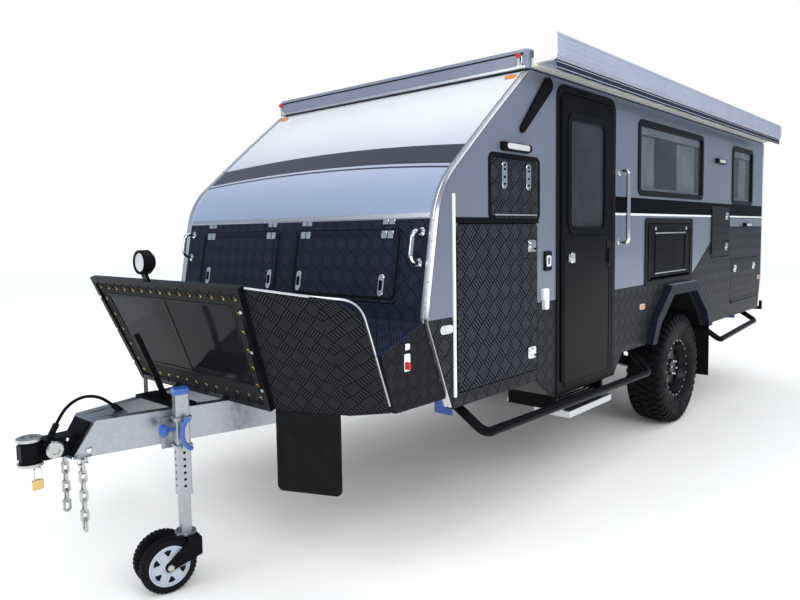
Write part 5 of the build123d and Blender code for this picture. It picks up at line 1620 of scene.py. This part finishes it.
@dataclass
class StoneGuard:
    """The leaning stone guard: laced screen with a clear middle, folded wings, and the work lamp on its bar.

    Attributes:
        foot: x of the bottom bar.
        lean: lean from upright, in degrees.
        rise: where the screen starts up the plane, and where it ends.
        halves: half widths of the screen at its foot and its top.
        base: height of the plane's foot.
        border: width of the woven border at the sides and top, and at the foot.
        pitch: distance between eyelets.
        lamp: y and z of the work lamp.
        bolts: heights of the bolts on each upright.
        wing: x, distance from the centre plane and z of the corners of a wing's edge.
    """

    foot: float = 3.59
    lean: float = 21.1
    rise: Pair = (0.036, 0.57)
    halves: Pair = (0.541, 0.634)
    base: float = 0.768
    border: Pair = (0.06, 0.085)
    pitch: float = 0.085
    lamp: Pair = (-0.085, 1.414)
    bolts: Place = (0.86, 1.04, 1.22)
    wing: tuple[Place, ...] = (
        (3.805, 0.675, 1.322), (3.668, 0.952, 1.287), (3.496, 1.021, 1.264), (3.31, 1.006, 0.79),
    )

    @property
    def plane(self) -> Seat:
        """The screen's plane.

        Returns:
            A seat measured across and up from the foot.
        """
        turn = math.radians(self.lean)
        up = X * math.sin(turn) + Z * math.cos(turn)
        out = X * math.cos(turn) - Z * math.sin(turn)
        middle, _ = strike("guard_mesh", spot(FAR_SIGHT, 0.0, 1.05), -X)
        foot = spot(self.foot, 0, self.base)
        return Seat(foot + out * (middle - foot).dot(out), Y, up, out)

    def half(self, b: float) -> float:
        """Finds the screen's half width at a distance up the plane."""
        share = (b - self.rise[0]) / (self.rise[1] - self.rise[0])
        return self.halves[0] + (self.halves[1] - self.halves[0]) * share

    def build(self) -> None:
        """Adds the screen with its eyelets, seams and lacing."""
        plane, shape = self.plane, Shape()
        low, high = self.rise
        side, foot = self.border
        inner = [low + foot + (high - side - low - foot) * k / 6 for k in range(1, 7)]
        ups = [low, low + foot, *inner, high]
        rows = []
        for b in ups:
            half = self.half(b)
            inner = [(half - side) * (k - 5) / 5 for k in range(11)]
            rows.append([plane.at(a, b, 0.0015 * math.sin(9 * a) * math.sin(11 * b))
                         for a in (-half, *inner, half)])
        shape.loft(rows, closed=False, caps=False)
        screen = show("guard_screen", shape, SCREEN, smooth=60.0)
        screen.data.materials.append(FILM.material())
        across = len(rows[0]) - 1
        for k, face in enumerate(screen.data.polygons):
            row, column = divmod(k, across)
            face.material_index = int(0 < row < len(ups) - 2 and 0 < column < across - 1)
        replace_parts(screen, "guard_mesh")
        trims = [self.eyelets(plane), self.lacing(plane), self.seams(plane)]

    def stations(self) -> list[tuple[float, float, float, float]]:
        """Lists the eyelets round the screen.

        Returns:
            Distance across and up for each eyelet, and for the bar it is laced to.
        """
        low, high = self.rise
        edge, reach = 0.022, 0.03
        found = []
        for b, lift in ((low + edge, -reach), (high - edge, reach)):
            half = self.half(b) - edge
            count = round(2 * half / self.pitch)
            places = [-half + 2 * half * k / count for k in range(count + 1)]
            found += [(a, b, a, b + lift) for a in places]
        count = round((high - low) / self.pitch)
        for k in range(1, count):
            b = low + (high - low) * k / count
            for hand in (1, -1):
                a = hand * (self.half(b) - edge)
                found.append((a, b, a + hand * reach, b))
        return found

    def eyelets(self, plane: Seat) -> bpy.types.Object:
        """Adds the brass eyelets.

        Args:
            plane: the screen's plane.

        Returns:
            The eyelets.
        """
        shape = Shape()
        for a, b, _, _ in self.stations():
            shape.turned(plane.at(a, b), plane.out, EYELET, 14)
        return show("guard_eyelets", shape, BRASS)

    def lacing(self, plane: Seat) -> bpy.types.Object:
        """Adds a loop of lace from each eyelet round the frame.

        Args:
            plane: the screen's plane.

        Returns:
            The lacing.
        """
        shape = Shape()
        for a, b, far_a, far_b in self.stations():
            start, end = plane.at(a, b, 0.003), plane.at(far_a, far_b, 0.019)
            middle = plane.at((a + far_a) / 2, (b + far_b) / 2, 0.018)
            shape.tube(bent([start, middle, end], 0.02, 4), 0.003, 6)
        return show("guard_lacing", shape, TRIM_BLACK)

    def seams(self, plane: Seat) -> bpy.types.Object:
        """Adds the centre seam and the welt round the clear panes.

        Args:
            plane: the screen's plane.

        Returns:
            The seams.
        """
        shape = Shape()
        low, high = self.rise
        side, foot = self.border
        shape.bar(plane.at(0, low + foot, 0.001), plane.at(0, high - side, 0.001), Y, 0.026, 0.004)
        corners = [(hand * (self.half(b) - side), b) for hand, b in
                   ((-1, low + foot), (1, low + foot), (1, high - side), (-1, high - side))]
        for (a0, b0), (a1, b1) in zip(corners, corners[1:] + corners[:1]):
            across = (plane.at(a1, b1) - plane.at(a0, b0)).cross(plane.out)
            shape.bar(plane.at(a0, b0, 0.001), plane.at(a1, b1, 0.001), across, 0.012, 0.004)
        return show("guard_seams", shape, TRIM_BLACK)

    def dress(self) -> None:
        """Adds the wings' piping, the bar's bolts and the lamp's lens."""
        piping = Shape()
        for side in Side:
            corners = [spot(x, side.value * y, z) for x, y, z in self.wing]
            piping.tube(bent(corners, 0.146, 9), 0.005)
        show("wing_piping", piping, ALUMINIUM)
        bolts = Shape()
        for side in Side:
            for z in self.bolts:
                seat = front_seat("guard_frame", side.value * (self.halves[0] + 0.02 + (z - 0.79) * 0.17), z)
                bolts.turned(seat.origin, seat.out, GUARD_BOLT, 10)
        show("guard_bolts", bolts, ALUMINIUM)
        seat = front_seat("work_light", *self.lamp)
        lens, bezel = Shape(), Shape()
        lens.turned(seat.origin, X, WORK_LENS, 28)
        bezel.turned(seat.origin, X, WORK_BEZEL, 32)
        show("work_lens", lens, CLEAR_LENS)
        show("work_bezel", bezel, SATIN_BLACK)


@dataclass
class NosePanel:
    """Fittings on the folded front: edge trims, seam, hatch hinges and latches, handle feet.

    Attributes:
        edge: distance of the edge trim from the centre plane.
        foot: height where the edge trim starts.
        top: height where it ends.
        hinge_y: distances of the hatch hinges from the centre plane.
        hinge_z: heights of the hinges' leaves on the hatch and of their plates above it.
        latch_y: distances of the latches.
        latch_z: height of the latches.
        handle_y: distance of the grab handles.
        handle_z: heights of their feet.
        seam: height of the seam between the two panels.
        steps: stretches in the edge trim.
    """

    edge: float = 1.027
    foot: float = 0.715
    top: float = 2.372
    hinge_y: Pair = (0.15, 0.75)
    hinge_z: Pair = (1.528, 1.588)
    latch_y: Pair = (0.13, 0.74)
    latch_z: float = 1.285
    handle_y: float = 0.96
    handle_z: Pair = (1.395, 1.538)
    seam: float = 1.615
    steps: int = 72

    def build(self) -> None:
        """Adds the trims."""
        section = ((-0.023, -0.002), (-0.023, 0.003), (-0.016, 0.005), (-0.005, 0.005), (-0.003, 0.003),
                   (0.003, 0.003), (0.005, 0.005), (0.016, 0.005), (0.023, 0.003), (0.023, -0.002))
        for side in Side:
            trim, screws = Shape(), Shape()
            seats = []
            for k in range(self.steps + 1):
                z = self.foot + (self.top - self.foot) * k / self.steps
                point, out = strike(f"wall_{side.word}", spot(FAR_SIGHT, side.value * 1.035, z), -X)
                seats.append((Vector((point.x, AXLE.y + side.value * self.edge, point.z)), out))
            trim.strip([p for p, _ in seats], Y * side.value, [out for _, out in seats], section)
            for point, out in seats[2::4]:
                screws.turned(point, out, TRIM_SCREW, 8)
            show(f"nose_trim_{side.word}", trim, ALUMINIUM)
            show(f"nose_screws_{side.word}", screws, CHROME)
        seam = Shape()
        seam.plate(front_seat("front_upper_panel", 0.0, self.seam), (1.99, 0.024), 0.004, 0.004, 0.0015, SINK)
        show("nose_seam", seam, ALUMINIUM)

    def dress(self) -> None:
        """Adds the hatches' hinges, latches and beads and the handle feet."""
        feet = Shape()
        for side in Side:
            hatch = f"front_hatch_{side.word}"
            leaves, fixed, latches, paddles, gasket = Shape(), Shape(), Shape(), Shape(), Shape()
            for y in self.hinge_y:
                seat = front_seat(hatch, side.value * y, self.hinge_z[0])
                for shift in (-0.021, 0.021):
                    leaves.plate(seat.moved(shift, 0), (0.036, 0.04), 0.006, 0.005, 0.0015, SINK)
                    above = front_seat("front_lower_panel", side.value * y + shift, self.hinge_z[1])
                    fixed.plate(above, (0.036, 0.026), 0.005, 0.006, 0.0015, SINK)
            for y in self.latch_y:
                seat = front_seat(hatch, side.value * y, self.latch_z)
                latches.plate(seat, (0.038, 0.11), 0.018, 0.01, 0.003, SINK, 6)
                paddles.plate(seat, (0.02, 0.05), 0.008, 0.013, 0.002, 0.0, 4)
            low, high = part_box(hatch)
            middle = front_seat(hatch, (low.y + high.y) / 2 - AXLE.y, (low.z + high.z) / 2)
            size = (high.y - low.y - 0.02, (high.z - low.z) / 0.985 - 0.04)
            gasket.border(middle, size, 0.03, 0.012, 0.003)
            for z in self.handle_z:
                seat = front_seat("front_lower_panel", side.value * self.handle_y, z)
                feet.turned(seat.origin, seat.out, GRAB_FOOT, 20)
            show(f"{hatch}_hinges", leaves, CHROME, hatch)
            show(f"{hatch}_hinge_plates", fixed, CHROME)
            show(f"{hatch}_latches", latches, CHROME, hatch)
            show(f"{hatch}_paddles", paddles, SATIN_BLACK, hatch)
            show(f"{hatch}_bead", gasket, SATIN_BLACK, hatch)
        show("handle_feet", feet, CHROME)


@dataclass
class SideWall:
    """Trim and furniture on one side wall.

    Attributes:
        side: which wall.
        face: distance of the wall from the centre plane.
        latches: hatch, x and z of each latch on the door side.
        windows: lowest x, highest x, sill and head of each window.
        reflectors: name, x, z and lens of each reflector.
        far_latches: x and z of each latch on the far side's boot door.
        lamps: x, z, lens length and lens height of each wall lamp on the door side.
    """

    side: Side
    face: float = 1.05
    latches: tuple[tuple[str, float, float], ...] = (
        ("boot_door_left", 2.215, 1.454), ("boot_door_left", 2.215, 0.872), ("upper_hatch", 2.483, 1.82),
        ("upper_hatch", 2.253, 1.82), ("slim_hatch", -1.172, 1.641), ("slim_hatch", -1.172, 1.364),
        ("rear_hatch", -1.44, 1.15), ("rear_hatch", -2.06, 1.15),
    )
    windows: tuple[tuple[float, float, float, float], ...] = (
        (-0.504, 0.822, 1.766, 2.292), (-1.96, -1.3, 1.747, 2.286),
    )
    lamps: tuple[tuple[float, float, float, float], ...] = (
        (2.385, 1.965, 0.21, 0.03), (-0.94, 2.115, 0.17, 0.026), (-1.8, 1.56, 0.17, 0.024),
    )
    reflectors: tuple[tuple[str, float, float, Finish], ...] = (
        ("reflector_front", 2.965, 1.085, CLEAR_LENS), ("reflector_middle", 0.72, 0.985, AMBER),
        ("reflector_rear", -2.26, 1.02, RED_LENS),
    )
    far_latches: tuple[Pair, ...] = ((2.235, 1.454), (2.235, 0.872))

    def build(self) -> None:
        """Adds the edge trims, blinds, curtains, reflectors and the far side's latches."""
        seat = wall_seat(self.side, self.face)
        trims = Shape()
        trims.plate(seat.moved(2.907, 1.235), (0.02, 0.96), 0.008, 0.008, 0.003, SINK)
        trims.plate(seat.moved(-2.352, 1.71), (0.034, 1.335), 0.006, 0.004, 0.0015, SINK)
        trims.bar(seat.at(-2.352, 1.045, 0.001), seat.at(-2.263, 0.72, 0.001), X, 0.034, 0.007)
        show(f"wall_trim_{self.side.word}", trims, WHITE)
        for number, window in enumerate(self.windows):
            self.blinds(number, window)
        for reflector in self.reflectors:
            self.pill(*reflector)
        if self.side is Side.RIGHT:
            for place in self.far_latches:
                self.paddle("boot_door_right", *place)

    def blinds(self, number: int, window: tuple[float, float, float, float]) -> None:
        """Adds the blind cases and the curtains behind one window.

        Args:
            number: the window's place in the list.
            window: lowest x, highest x, sill and head.
        """
        rear, front, sill, head = window
        tag = f"{self.side.word}_{number}"
        seat = wall_seat(self.side, self.face - 0.034)
        cases = Shape()
        middle, wide = (rear + front) / 2, front - rear - 0.09
        cases.plate(seat.moved(middle, head - 0.068), (wide, 0.05), 0.008, 0.014, 0.003)
        cases.plate(seat.moved(middle, sill + 0.052), (wide, 0.018), 0.005, 0.012, 0.002)
        case = show(f"blind_case_{tag}", cases, PALE_STRIP)
        drop = (sill + 0.066, head - 0.096)
        span = 0.3 * wide
        for end, edge in (("rear", rear + 0.05), ("front", front - 0.05 - span)):
            shape = Shape()
            columns, rows = 40, 8
            shape.loft([[seat.at(edge + span * c / columns, drop[0] + (drop[1] - drop[0]) * r / rows,
                                 -0.032 + 0.011 * math.sin(c * 1.25 + 0.25 * math.sin(r)))
                         for c in range(columns + 1)] for r in range(rows + 1)], closed=False, caps=False)
            cloth = show(f"curtain_{tag}_{end}", shape, CURTAIN, smooth=80.0)

    def paddle(self, hatch: str, x: float, z: float) -> None:
        """Adds a paddle latch to a hatch.

        Args:
            hatch: the hatch.
            x: distance ahead of the axle.
            z: height above the ground.
        """
        seat = side_seat(hatch, self.side, x, z)
        plate, paddle = Shape(), Shape()
        if hatch == "upper_hatch":
            plate.plate(seat, (0.046, 0.138), 0.02, 0.007, 0.002, SINK)
            for rise in (-0.045, -0.01, 0.03, 0.05):
                paddle.turned(seat.at(0, rise), seat.out, LATCH_RIVET, 10)
        else:
            plate.plate(seat, (0.078, 0.066), 0.014, 0.006, 0.002, SINK)
            plate.plate(seat.moved(0.006, 0.004), (0.05, 0.038), 0.012, 0.012, 0.004, 0.0)
            paddle.turned(seat.at(-0.026, -0.016), seat.out, LATCH_LOCK, 12)
        tag = f"{hatch}_{int(1000 * z)}_{int(abs(1000 * x))}"
        show(f"latch_{tag}", plate, CHROME, hatch)
        show(f"paddle_{tag}", paddle, SATIN_BLACK, hatch)

    def pill(self, name: str, x: float, z: float, finish: Finish) -> None:
        """Adds a small oblong reflector.

        Args:
            name: the piece's name.
            x: distance ahead of the axle.
            z: height above the ground.
            finish: the lens.
        """
        lens, rim = Shape(), Shape()
        seat = side_seat(f"wall_{self.side.word}", self.side, x, z)
        lens.plate(seat, (0.075, 0.026), 0.012, 0.007, 0.003, 0.001, 5)
        rim.plate(seat, (0.092, 0.04), 0.018, 0.004, 0.0015, SINK, 5)
        show(f"{name}_{self.side.word}", lens, finish)
        show(f"{name}_rim_{self.side.word}", rim, PALE_STRIP)

    def dress(self) -> None:
        """Adds the door side's furniture."""
        for hatch, x, z in self.latches:
            self.paddle(hatch, x, z)
        lenses = Shape()
        for x, z, long, tall in self.lamps:
            seat = side_seat("lamps", self.side, x, z)
            lenses.plate(seat, (long, tall), tall * 0.45, 0.004, 0.0015, SINK)
        show("wall_lamp_lenses", lenses, CLEAR_LENS)
        seat = wall_seat(self.side, self.face)
        strip, inlet, lid, bracket = Shape(), Shape(), Shape(), Shape()
        strip.plate(seat.moved(2.379, 1.619), (0.4, 0.007), 0.003, 0.014, 0.001, SINK)
        show("upper_hatch_strip", strip, ALUMINIUM)
        surround = Shape()
        surround.plate(seat.moved(2.521, 1.59), (0.75, 0.03), 0.004, 0.004, 0.0015, SINK)
        surround.border(seat.moved(2.379, 1.757), (0.49, 0.346), 0.04, 0.022, 0.004)
        show("hatch_surround", surround, SATIN_BLACK)
        inlet.plate(seat.moved(2.053, 1.366), (0.08, 0.11), 0.012, 0.012, 0.003, SINK)
        show("power_inlet", inlet, TRIM_BLACK)
        lid.border(seat.moved(2.053, 1.366), (0.046, 0.062), 0.01, 0.012, 0.016, 0.002)
        show("power_inlet_ring", lid, PALE_STRIP)
        stay = Shape()
        stay.plate(seat.moved(2.085, 1.18), (0.06, 0.07), 0.012, 0.02, 0.004, SINK)
        stay.plate(seat.moved(2.085, 1.13), (0.042, 0.07), 0.012, 0.026, 0.006, SINK)
        show("door_stay", stay, WHITE)
        outline = [(2.054 + 0.042 * math.cos(t), 2.33 + 0.042 * math.sin(t)) for t in
                   (math.radians(43 + 20 * k) for k in range(10))]
        outline += [(2.318 + 0.02 * math.cos(t), 2.066 + 0.02 * math.sin(t)) for t in
                    (math.radians(223 + 36 * k) for k in range(6))]
        bracket.loft([[seat.at(a, b, c) for a, b in outline] for c in (-0.001, 0.014)])
        show("strut_bracket", bracket, SATIN_BLACK)
        feet = Shape()
        for z in (1.455, 1.91):
            feet.turned(seat.at(1.12, z), seat.out, DOOR_FOOT, 20)
        show("door_handle_feet", feet, CHROME)
        sleeve = Shape()
        corners = ((0.012, 1.45), (0.062, 1.45), (0.062, 1.915), (0.012, 1.915))
        sleeve.tube(bent([seat.at(1.12, z, out) for out, z in corners], 0.032, 8), 0.0165, 20)
        show("door_handle_sleeve", sleeve, CHROME)
        self.door()
        self.table()

    def door(self) -> None:
        """Adds the entry door's glazing bead, lower panel, catch and flush handle."""
        low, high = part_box("door_glass")
        middle = (low + high) / 2 - AXLE
        seat = side_seat("entry_door", self.side, middle.x, high.z + 0.06)
        bead, panel, catch, handle, pull = Shape(), Shape(), Shape(), Shape(), Shape()
        glass = Seat(spot(middle.x, seat.origin.y - AXLE.y, middle.z), X, Z, seat.out)
        bead.border(glass, (high.x - low.x + 0.07, high.z - low.z + 0.07), 0.075, 0.028, 0.006)
        bead.border(glass, (high.x - low.x + 0.01, high.z - low.z + 0.01), 0.05, 0.016, 0.003)
        show("door_glass_bead", bead, GLOSS_BLACK, "entry_door")
        panel.border(glass.moved(0, 1.06 - middle.z), (0.6, 0.88), 0.03, 0.014, 0.004)
        panel.plate(glass.moved(0, 1.06 - middle.z), (0.575, 0.855), 0.02, 0.002, 0.0008, SINK)
        show("door_panel", panel, GLOSS_BLACK, "entry_door")
        hold, tip = 1.372, 1.832
        base = glass.moved(1.775 - middle.x, hold - middle.z)
        catch.plate(base, (0.05, 0.062), 0.012, 0.01, 0.003, SINK)
        catch.tube([glass.at(x - middle.x, hold - middle.z, 0.013) for x in (1.78, 1.81, tip)], 0.007, 10)
        ends = (-0.022, 0.0, 0.022)
        catch.tube([glass.at(tip - middle.x, hold + b - middle.z, 0.013) for b in ends], 0.006, 8)
        show("door_catch", catch, CHROME, "entry_door")
        cup = glass.moved(1.292 - middle.x, 1.385 - middle.z)
        handle.plate(cup, (0.062, 0.17), 0.02, 0.006, 0.002, SINK)
        show("door_handle_cup", handle, TRIM_BLACK, "entry_door")
        pull.plate(glass.moved(1.292 - middle.x, 1.37 - middle.z), (0.034, 0.1), 0.014, 0.014, 0.004, 0.0)
        show("door_handle_pull", pull, GLOSS_BLACK, "entry_door")

    def table(self) -> None:
        """Adds the fold-down table's bead, folded legs, edge strips and catches."""
        low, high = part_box("table_leaf")
        middle = (low + high) / 2 - AXLE
        seat = side_seat("table_leaf", self.side, middle.x, middle.z)
        bead, legs, caps, strips = Shape(), Shape(), Shape(), Shape()
        bead.border(seat, (high.x - low.x - 0.01, high.z - low.z - 0.02), 0.02, 0.016, 0.004)
        show("table_bead", bead, GLOSS_BLACK, "table_leaf")
        for a in (-0.3, 0.3):
            legs.plate(seat.moved(a, 0.0), (0.02, 0.3), 0.005, 0.006, 0.002, SINK)
        show("table_legs", legs, SATIN_BLACK, "table_leaf")
        for b in (-0.155, 0.14):
            strips.plate(seat.moved(0.0, b), (0.62, 0.009), 0.003, 0.007, 0.002, SINK)
        show("table_strips", strips, ALUMINIUM, "table_leaf")
        for a in (-0.31, 0.31):
            caps.turned(seat.at(a, 0.175), seat.out, TABLE_CATCH, 16)
        show("table_catches", caps, CHROME, "table_leaf")


@dataclass
class RoofAndAwning:
    """The lifting lid's trims and clamps, its cloth bellows, and the awning's ribs and valance.

    Attributes:
        front: x of the lid's front face.
        rear: x of its rear face.
        half: half width of the lid.
        groove: height of the lid's groove.
        edge: height of the lid's bright edge.
        clamp: distance from the centre plane and height of each clamp.
        lamp: distance from the centre plane and height of each front lamp.
        bow: half length and height of each bow on the lid's top.
        skirt: lowest and highest edges of the folded bellows.
        fold: width of one fold.
        folds: folds in the bellows.
        fascia: distance of the awning's face from the centre plane.
        ribs: heights of the ribs on the awning's face.
        hem: lowest and highest edges of the valance.
    """

    front: float = 2.245
    rear: float = -2.375
    half: float = 1.05
    groove: float = 2.474
    edge: float = 2.404
    clamp: Pair = (1.0, 2.43)
    lamp: Pair = (0.955, 2.352)
    bow: Pair = (0.96, 2.5)
    skirt: Pair = (2.385, 2.395)
    fold: float = 0.036
    folds: int = 12
    fascia: float = 1.205
    ribs: tuple[float, ...] = (2.438, 2.462, 2.49, 2.518, 2.545)
    hem: Pair = (2.369, 2.42)

    def build(self) -> None:
        """Adds the bellows and the valance."""
        self.bellows()
        self.valance()

    def bellows(self) -> None:
        """Adds the pleated cloth that closes the gap when the lid lifts."""
        low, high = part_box("roof_skirt")
        low, high = low - AXLE, high - AXLE
        shape, rings = Shape(), []
        middle = ((low.x + high.x) / 2, (low.y + high.y) / 2)
        for row in range(self.folds + 1):
            inset = 0.002 + (self.fold if row % 2 else 0.0)
            z = self.skirt[0] + 0.0004 + (self.skirt[1] - self.skirt[0] - 0.0008) * row / self.folds
            outline = rounded(high.x - low.x - 2 * inset, high.y - low.y - 2 * inset, 0.03, 5)
            rings.append([spot(middle[0] + a, middle[1] + b, z) for a, b in outline])
        shape.loft(rings, caps=False)
        cloth = show("roof_bellows", shape, BELLOWS, body="", smooth=20.0)
        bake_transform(cloth)
        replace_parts(cloth, "roof_skirt")

    def valance(self) -> None:
        """Adds the stitched strip that hangs below the awning's face."""
        shape = Shape()
        columns, rows = 220, 3
        start, end = self.rear + 0.02, self.front - 0.035
        seat = wall_seat(Side.LEFT, self.fascia - 0.012)
        lines = []
        for r in range(rows + 1):
            b = self.hem[1] - (self.hem[1] - self.hem[0]) * r / rows
            wave = 0.003 * (r / rows)
            lines.append([seat.at(start + (end - start) * c / columns, b, wave * math.sin(c * 0.55))
                          for c in range(columns + 1)])
        shape.loft(lines, closed=False, caps=False)
        cloth = show("awning_valance", shape, VALANCE, "roof", smooth=80.0)
        stitch = Shape()
        for b in (0.012, 0.04):
            line = [seat.at(start + (end - start) * c / 40, self.hem[0] + b, 0.0035) for c in range(41)]
            stitch.tube(line, 0.0013, 5)
        thread = show("valance_stitching", stitch, PALE_STRIP, "roof")

    def dress(self) -> None:
        """Adds the lid's groove, edge, clamps and bows, the front lamps and the awning's ribs."""
        ends = (
            Seat(spot(self.front, 0, 0), Y, Z, X), Seat(spot(self.rear, 0, 0), Y, Z, -X),
        )
        groove, edge = Shape(), Shape()
        for seat in ends:
            wide = 2 * self.half - 0.06
            groove.plate(seat.moved(0, self.groove), (wide, 0.008), 0.003, 0.003, 0.001, SINK)
            edge.plate(seat.moved(0, self.edge), (2 * self.half - 0.04, 0.014), 0.004, 0.004, 0.0015, SINK)
        flank = wall_seat(Side.RIGHT, self.half)
        middle, long = (self.front + self.rear) / 2, self.front - self.rear
        groove.plate(flank.moved(middle, self.groove), (long - 0.06, 0.008), 0.003, 0.003, 0.001, SINK)
        edge.plate(flank.moved(middle, self.edge), (long - 0.04, 0.014), 0.004, 0.004, 0.0015, SINK)
        show("lid_groove", groove, TRIM_BLACK, "roof")
        show("lid_edge", edge, ALUMINIUM, "roof")
        clamps, knobs = Shape(), Shape()
        for y in (self.clamp[0], -self.clamp[0]):
            seat = ends[0].moved(y, self.clamp[1])
            clamps.plate(seat, (0.03, 0.06), 0.006, 0.012, 0.002, SINK)
            clamps.bar(seat.at(0, -0.02, 0.014), seat.at(0, 0.024, 0.022), Y, 0.018, 0.006)
            knobs.turned(seat.at(0, 0.03, 0.012), X, LID_KNOB, 16)
        show("lid_clamps", clamps, CHROME, "roof")
        show("lid_knobs", knobs, RED, "roof")
        lamp = Shape()
        for side in Side:
            seat = front_seat("front_upper_panel", side.value * self.lamp[0], self.lamp[1])
            lamp.plate(seat, (0.07, 0.026), 0.012, 0.012, 0.004, SINK)
        show("clearance_lamps", lamp, AMBER)
        ribs = Shape()
        face = wall_seat(Side.LEFT, self.fascia)
        for z in self.ribs:
            ribs.plate(face.moved(middle, z), (long - 0.08, 0.007), 0.003, 0.003, 0.0015, SINK, 2)
        show("awning_ribs", ribs, CASE, "roof")
        bows = Shape()
        half, height = self.bow
        for k in range(6):
            x = self.rear + 0.5 + k * (long - 1.0) / 5
            bows.bar(spot(x, -half, height), spot(x, half, height), X, 0.05, 0.012)
        show("lid_bows", bows, SILVER, "roof")


@dataclass
class Toolbox:
    """The nose toolbox's over-centre latches.

    Attributes:
        face: distance of the box's end from the centre plane.
        latch: x and z of the latch on each end.
    """

    face: float = 1.03
    latch: Pair = (3.225, 1.0)

    def dress(self) -> None:
        """Adds a latch on each end."""
        plates, levers = Shape(), Shape()
        for side in Side:
            seat = wall_seat(side, self.face).moved(*self.latch)
            plates.plate(seat.moved(0, -0.03), (0.04, 0.08), 0.008, 0.007, 0.002, SINK)
            plates.plate(seat.moved(0, 0.04), (0.03, 0.03), 0.006, 0.01, 0.002, SINK)
            levers.plate(seat.moved(0, -0.045), (0.018, 0.034), 0.007, 0.016, 0.004, 0.004)
        show("toolbox_latch_plates", plates, CHROME)
        show("toolbox_latch_levers", levers, RED)


@dataclass
class Underside:
    """Step grips and the steadies' painted feet.

    Attributes:
        grips: number of grips, distance of the first from the step's edge and distance between them.
        steadies: end of the caravan, and the x ahead of which and behind which its steadies are painted.
    """

    grips: tuple[int, float, float] = (6, 0.022, 0.036)
    steadies: tuple[tuple[str, Pair], ...] = (("front", (2.7, 2.235)), ("rear", (-1.47, -1.94)))

    def dress(self) -> None:
        """Adds the grips and paints the steadies."""
        low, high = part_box("entry_step")
        grips = Shape()
        count, start, apart = self.grips
        for k in range(count):
            y = high.y - start - apart * k
            middle = Seat(Vector(((low.x + high.x) / 2, y, high.z)), X, Y, Z)
            grips.plate(middle, (high.x - low.x - 0.05, 0.014), 0.006, 0.004, 0.0015, SINK, 3)
        show("step_grips", grips, TRIM_BLACK, "entry_step")
        for name, feet in self.steadies:
            finish = FootedMetal(f"steady paint {name}", (0.7, 0.71, 0.73), rough=0.3, feet=feet)
            for side in Side:
                dress(finish, f"steady_{name}_{side.word}")


@dataclass
class RearEnd:
    """Lamps and the blank plate on the rear wall.

    Attributes:
        wall: x of the rear wall.
        lamp: distance across and height of each tail lamp.
        trim: distance across, lowest and highest ends of each upright trim.
        plate: height of the blank plate.
    """

    wall: float = -2.37
    lamp: Pair = (0.93, 1.24)
    trim: Place = (1.0, 1.05, 2.37)
    plate: float = 1.13

    def dress(self) -> None:
        """Adds the lenses, the plate and the trims."""
        red, amber, plate, trim = Shape(), Shape(), Shape(), Shape()
        back = Seat(spot(self.wall, 0, 0), Y, Z, -X)
        for side in Side:
            y, z = side.value * self.lamp[0], self.lamp[1]
            point, _ = strike("lamps", spot(-FAR_SIGHT, y, z), X)
            seat = Seat(point, Y, Z, -X)
            red.plate(seat.moved(0, -0.05), (0.07, 0.09), 0.012, 0.006, 0.003, SINK)
            amber.plate(seat.moved(0, 0.05), (0.07, 0.08), 0.012, 0.006, 0.003, SINK)
            across, foot, top = side.value * self.trim[0], self.trim[1], self.trim[2]
            trim.bar(back.at(across, foot, 0.001), back.at(across, top, 0.001), Y, 0.04, 0.006)
        plate.plate(back.moved(0, self.plate), (0.372, 0.136), 0.012, 0.004, 0.0015, SINK)
        show("tail_lenses", red, RED_LENS)
        show("turn_lenses", amber, AMBER)
        show("blank_plate", plate, WHITE)
        show("rear_trim", trim, WHITE)


@dataclass
class Body:
    """Walls, nose, doors, hatches and windows."""

    def dress(self) -> None:
        """Finishes the body's CAD pieces."""
        dress(WALL, "wall_left", "wall_right", "wall_rear")
        dress(NOSE, "front_upper_panel")
        dress(BLACK_PLATE, "slim_hatch", "rear_hatch", "toolbox", "guard_wings")
        dress(NAVY_PLATE, "toolbox_lid", "front_lower_panel", "front_hatch_left", "front_hatch_right")
        dress(QUILT_PLATE, "boot_door_left", "boot_door_right", "upper_hatch")
        dress(SATIN_BLACK, "table_leaf", "entry_door", "wheel_tubs")
        dress(FLARE_PLATE, "wheel_flares")
        dress(TRIM_BLACK, "opening_frames", "lamps", "work_light")
        dress(GLASS, "window_panes", "door_glass")
        dress(FLOORING, "cabin_floor", "cabin_fitout")
        dress(SILVER, "roof_lid")
        dress(CREAM, "awning_rail")
        dress(WHITE, "awning_caps")
        dress(CASE, "awning_case")
        dress(GLOSS_BLACK, "guard_frame", "axle", "rear_bumper", "side_rails", "step_runners")
        dress(FLAP, "mud_flaps")
        dress(CHROME, "grab_handles")
        dress(ALUMINIUM, "entry_step")


def main() -> None:
    """Builds the caravan's looks in order."""
    logging.basicConfig(level=logging.INFO)
    Studio().build()
    drawbar = Drawbar()
    drawbar.build()
    drawbar.dress()
    for side in Side:
        wheel = RoadWheel(side)
        wheel.build()
        wheel.dress()
    Body().dress()
    jockey, guard, nose, roof = JockeyWheel(), StoneGuard(), NosePanel(), RoofAndAwning()
    for assembly in (jockey, guard, nose, roof):
        assembly.build()
        assembly.dress()
    for side in Side:
        SideWall(side).build()
    SideWall(Side.LEFT).dress()
    for trim in (Toolbox(), Underside(), RearEnd()):
        trim.dress()
    for piece in bpy.context.scene.objects:
        LOG.info("%s %s", piece.type.lower(), piece.name)


if __name__ == "__main__":
    main()
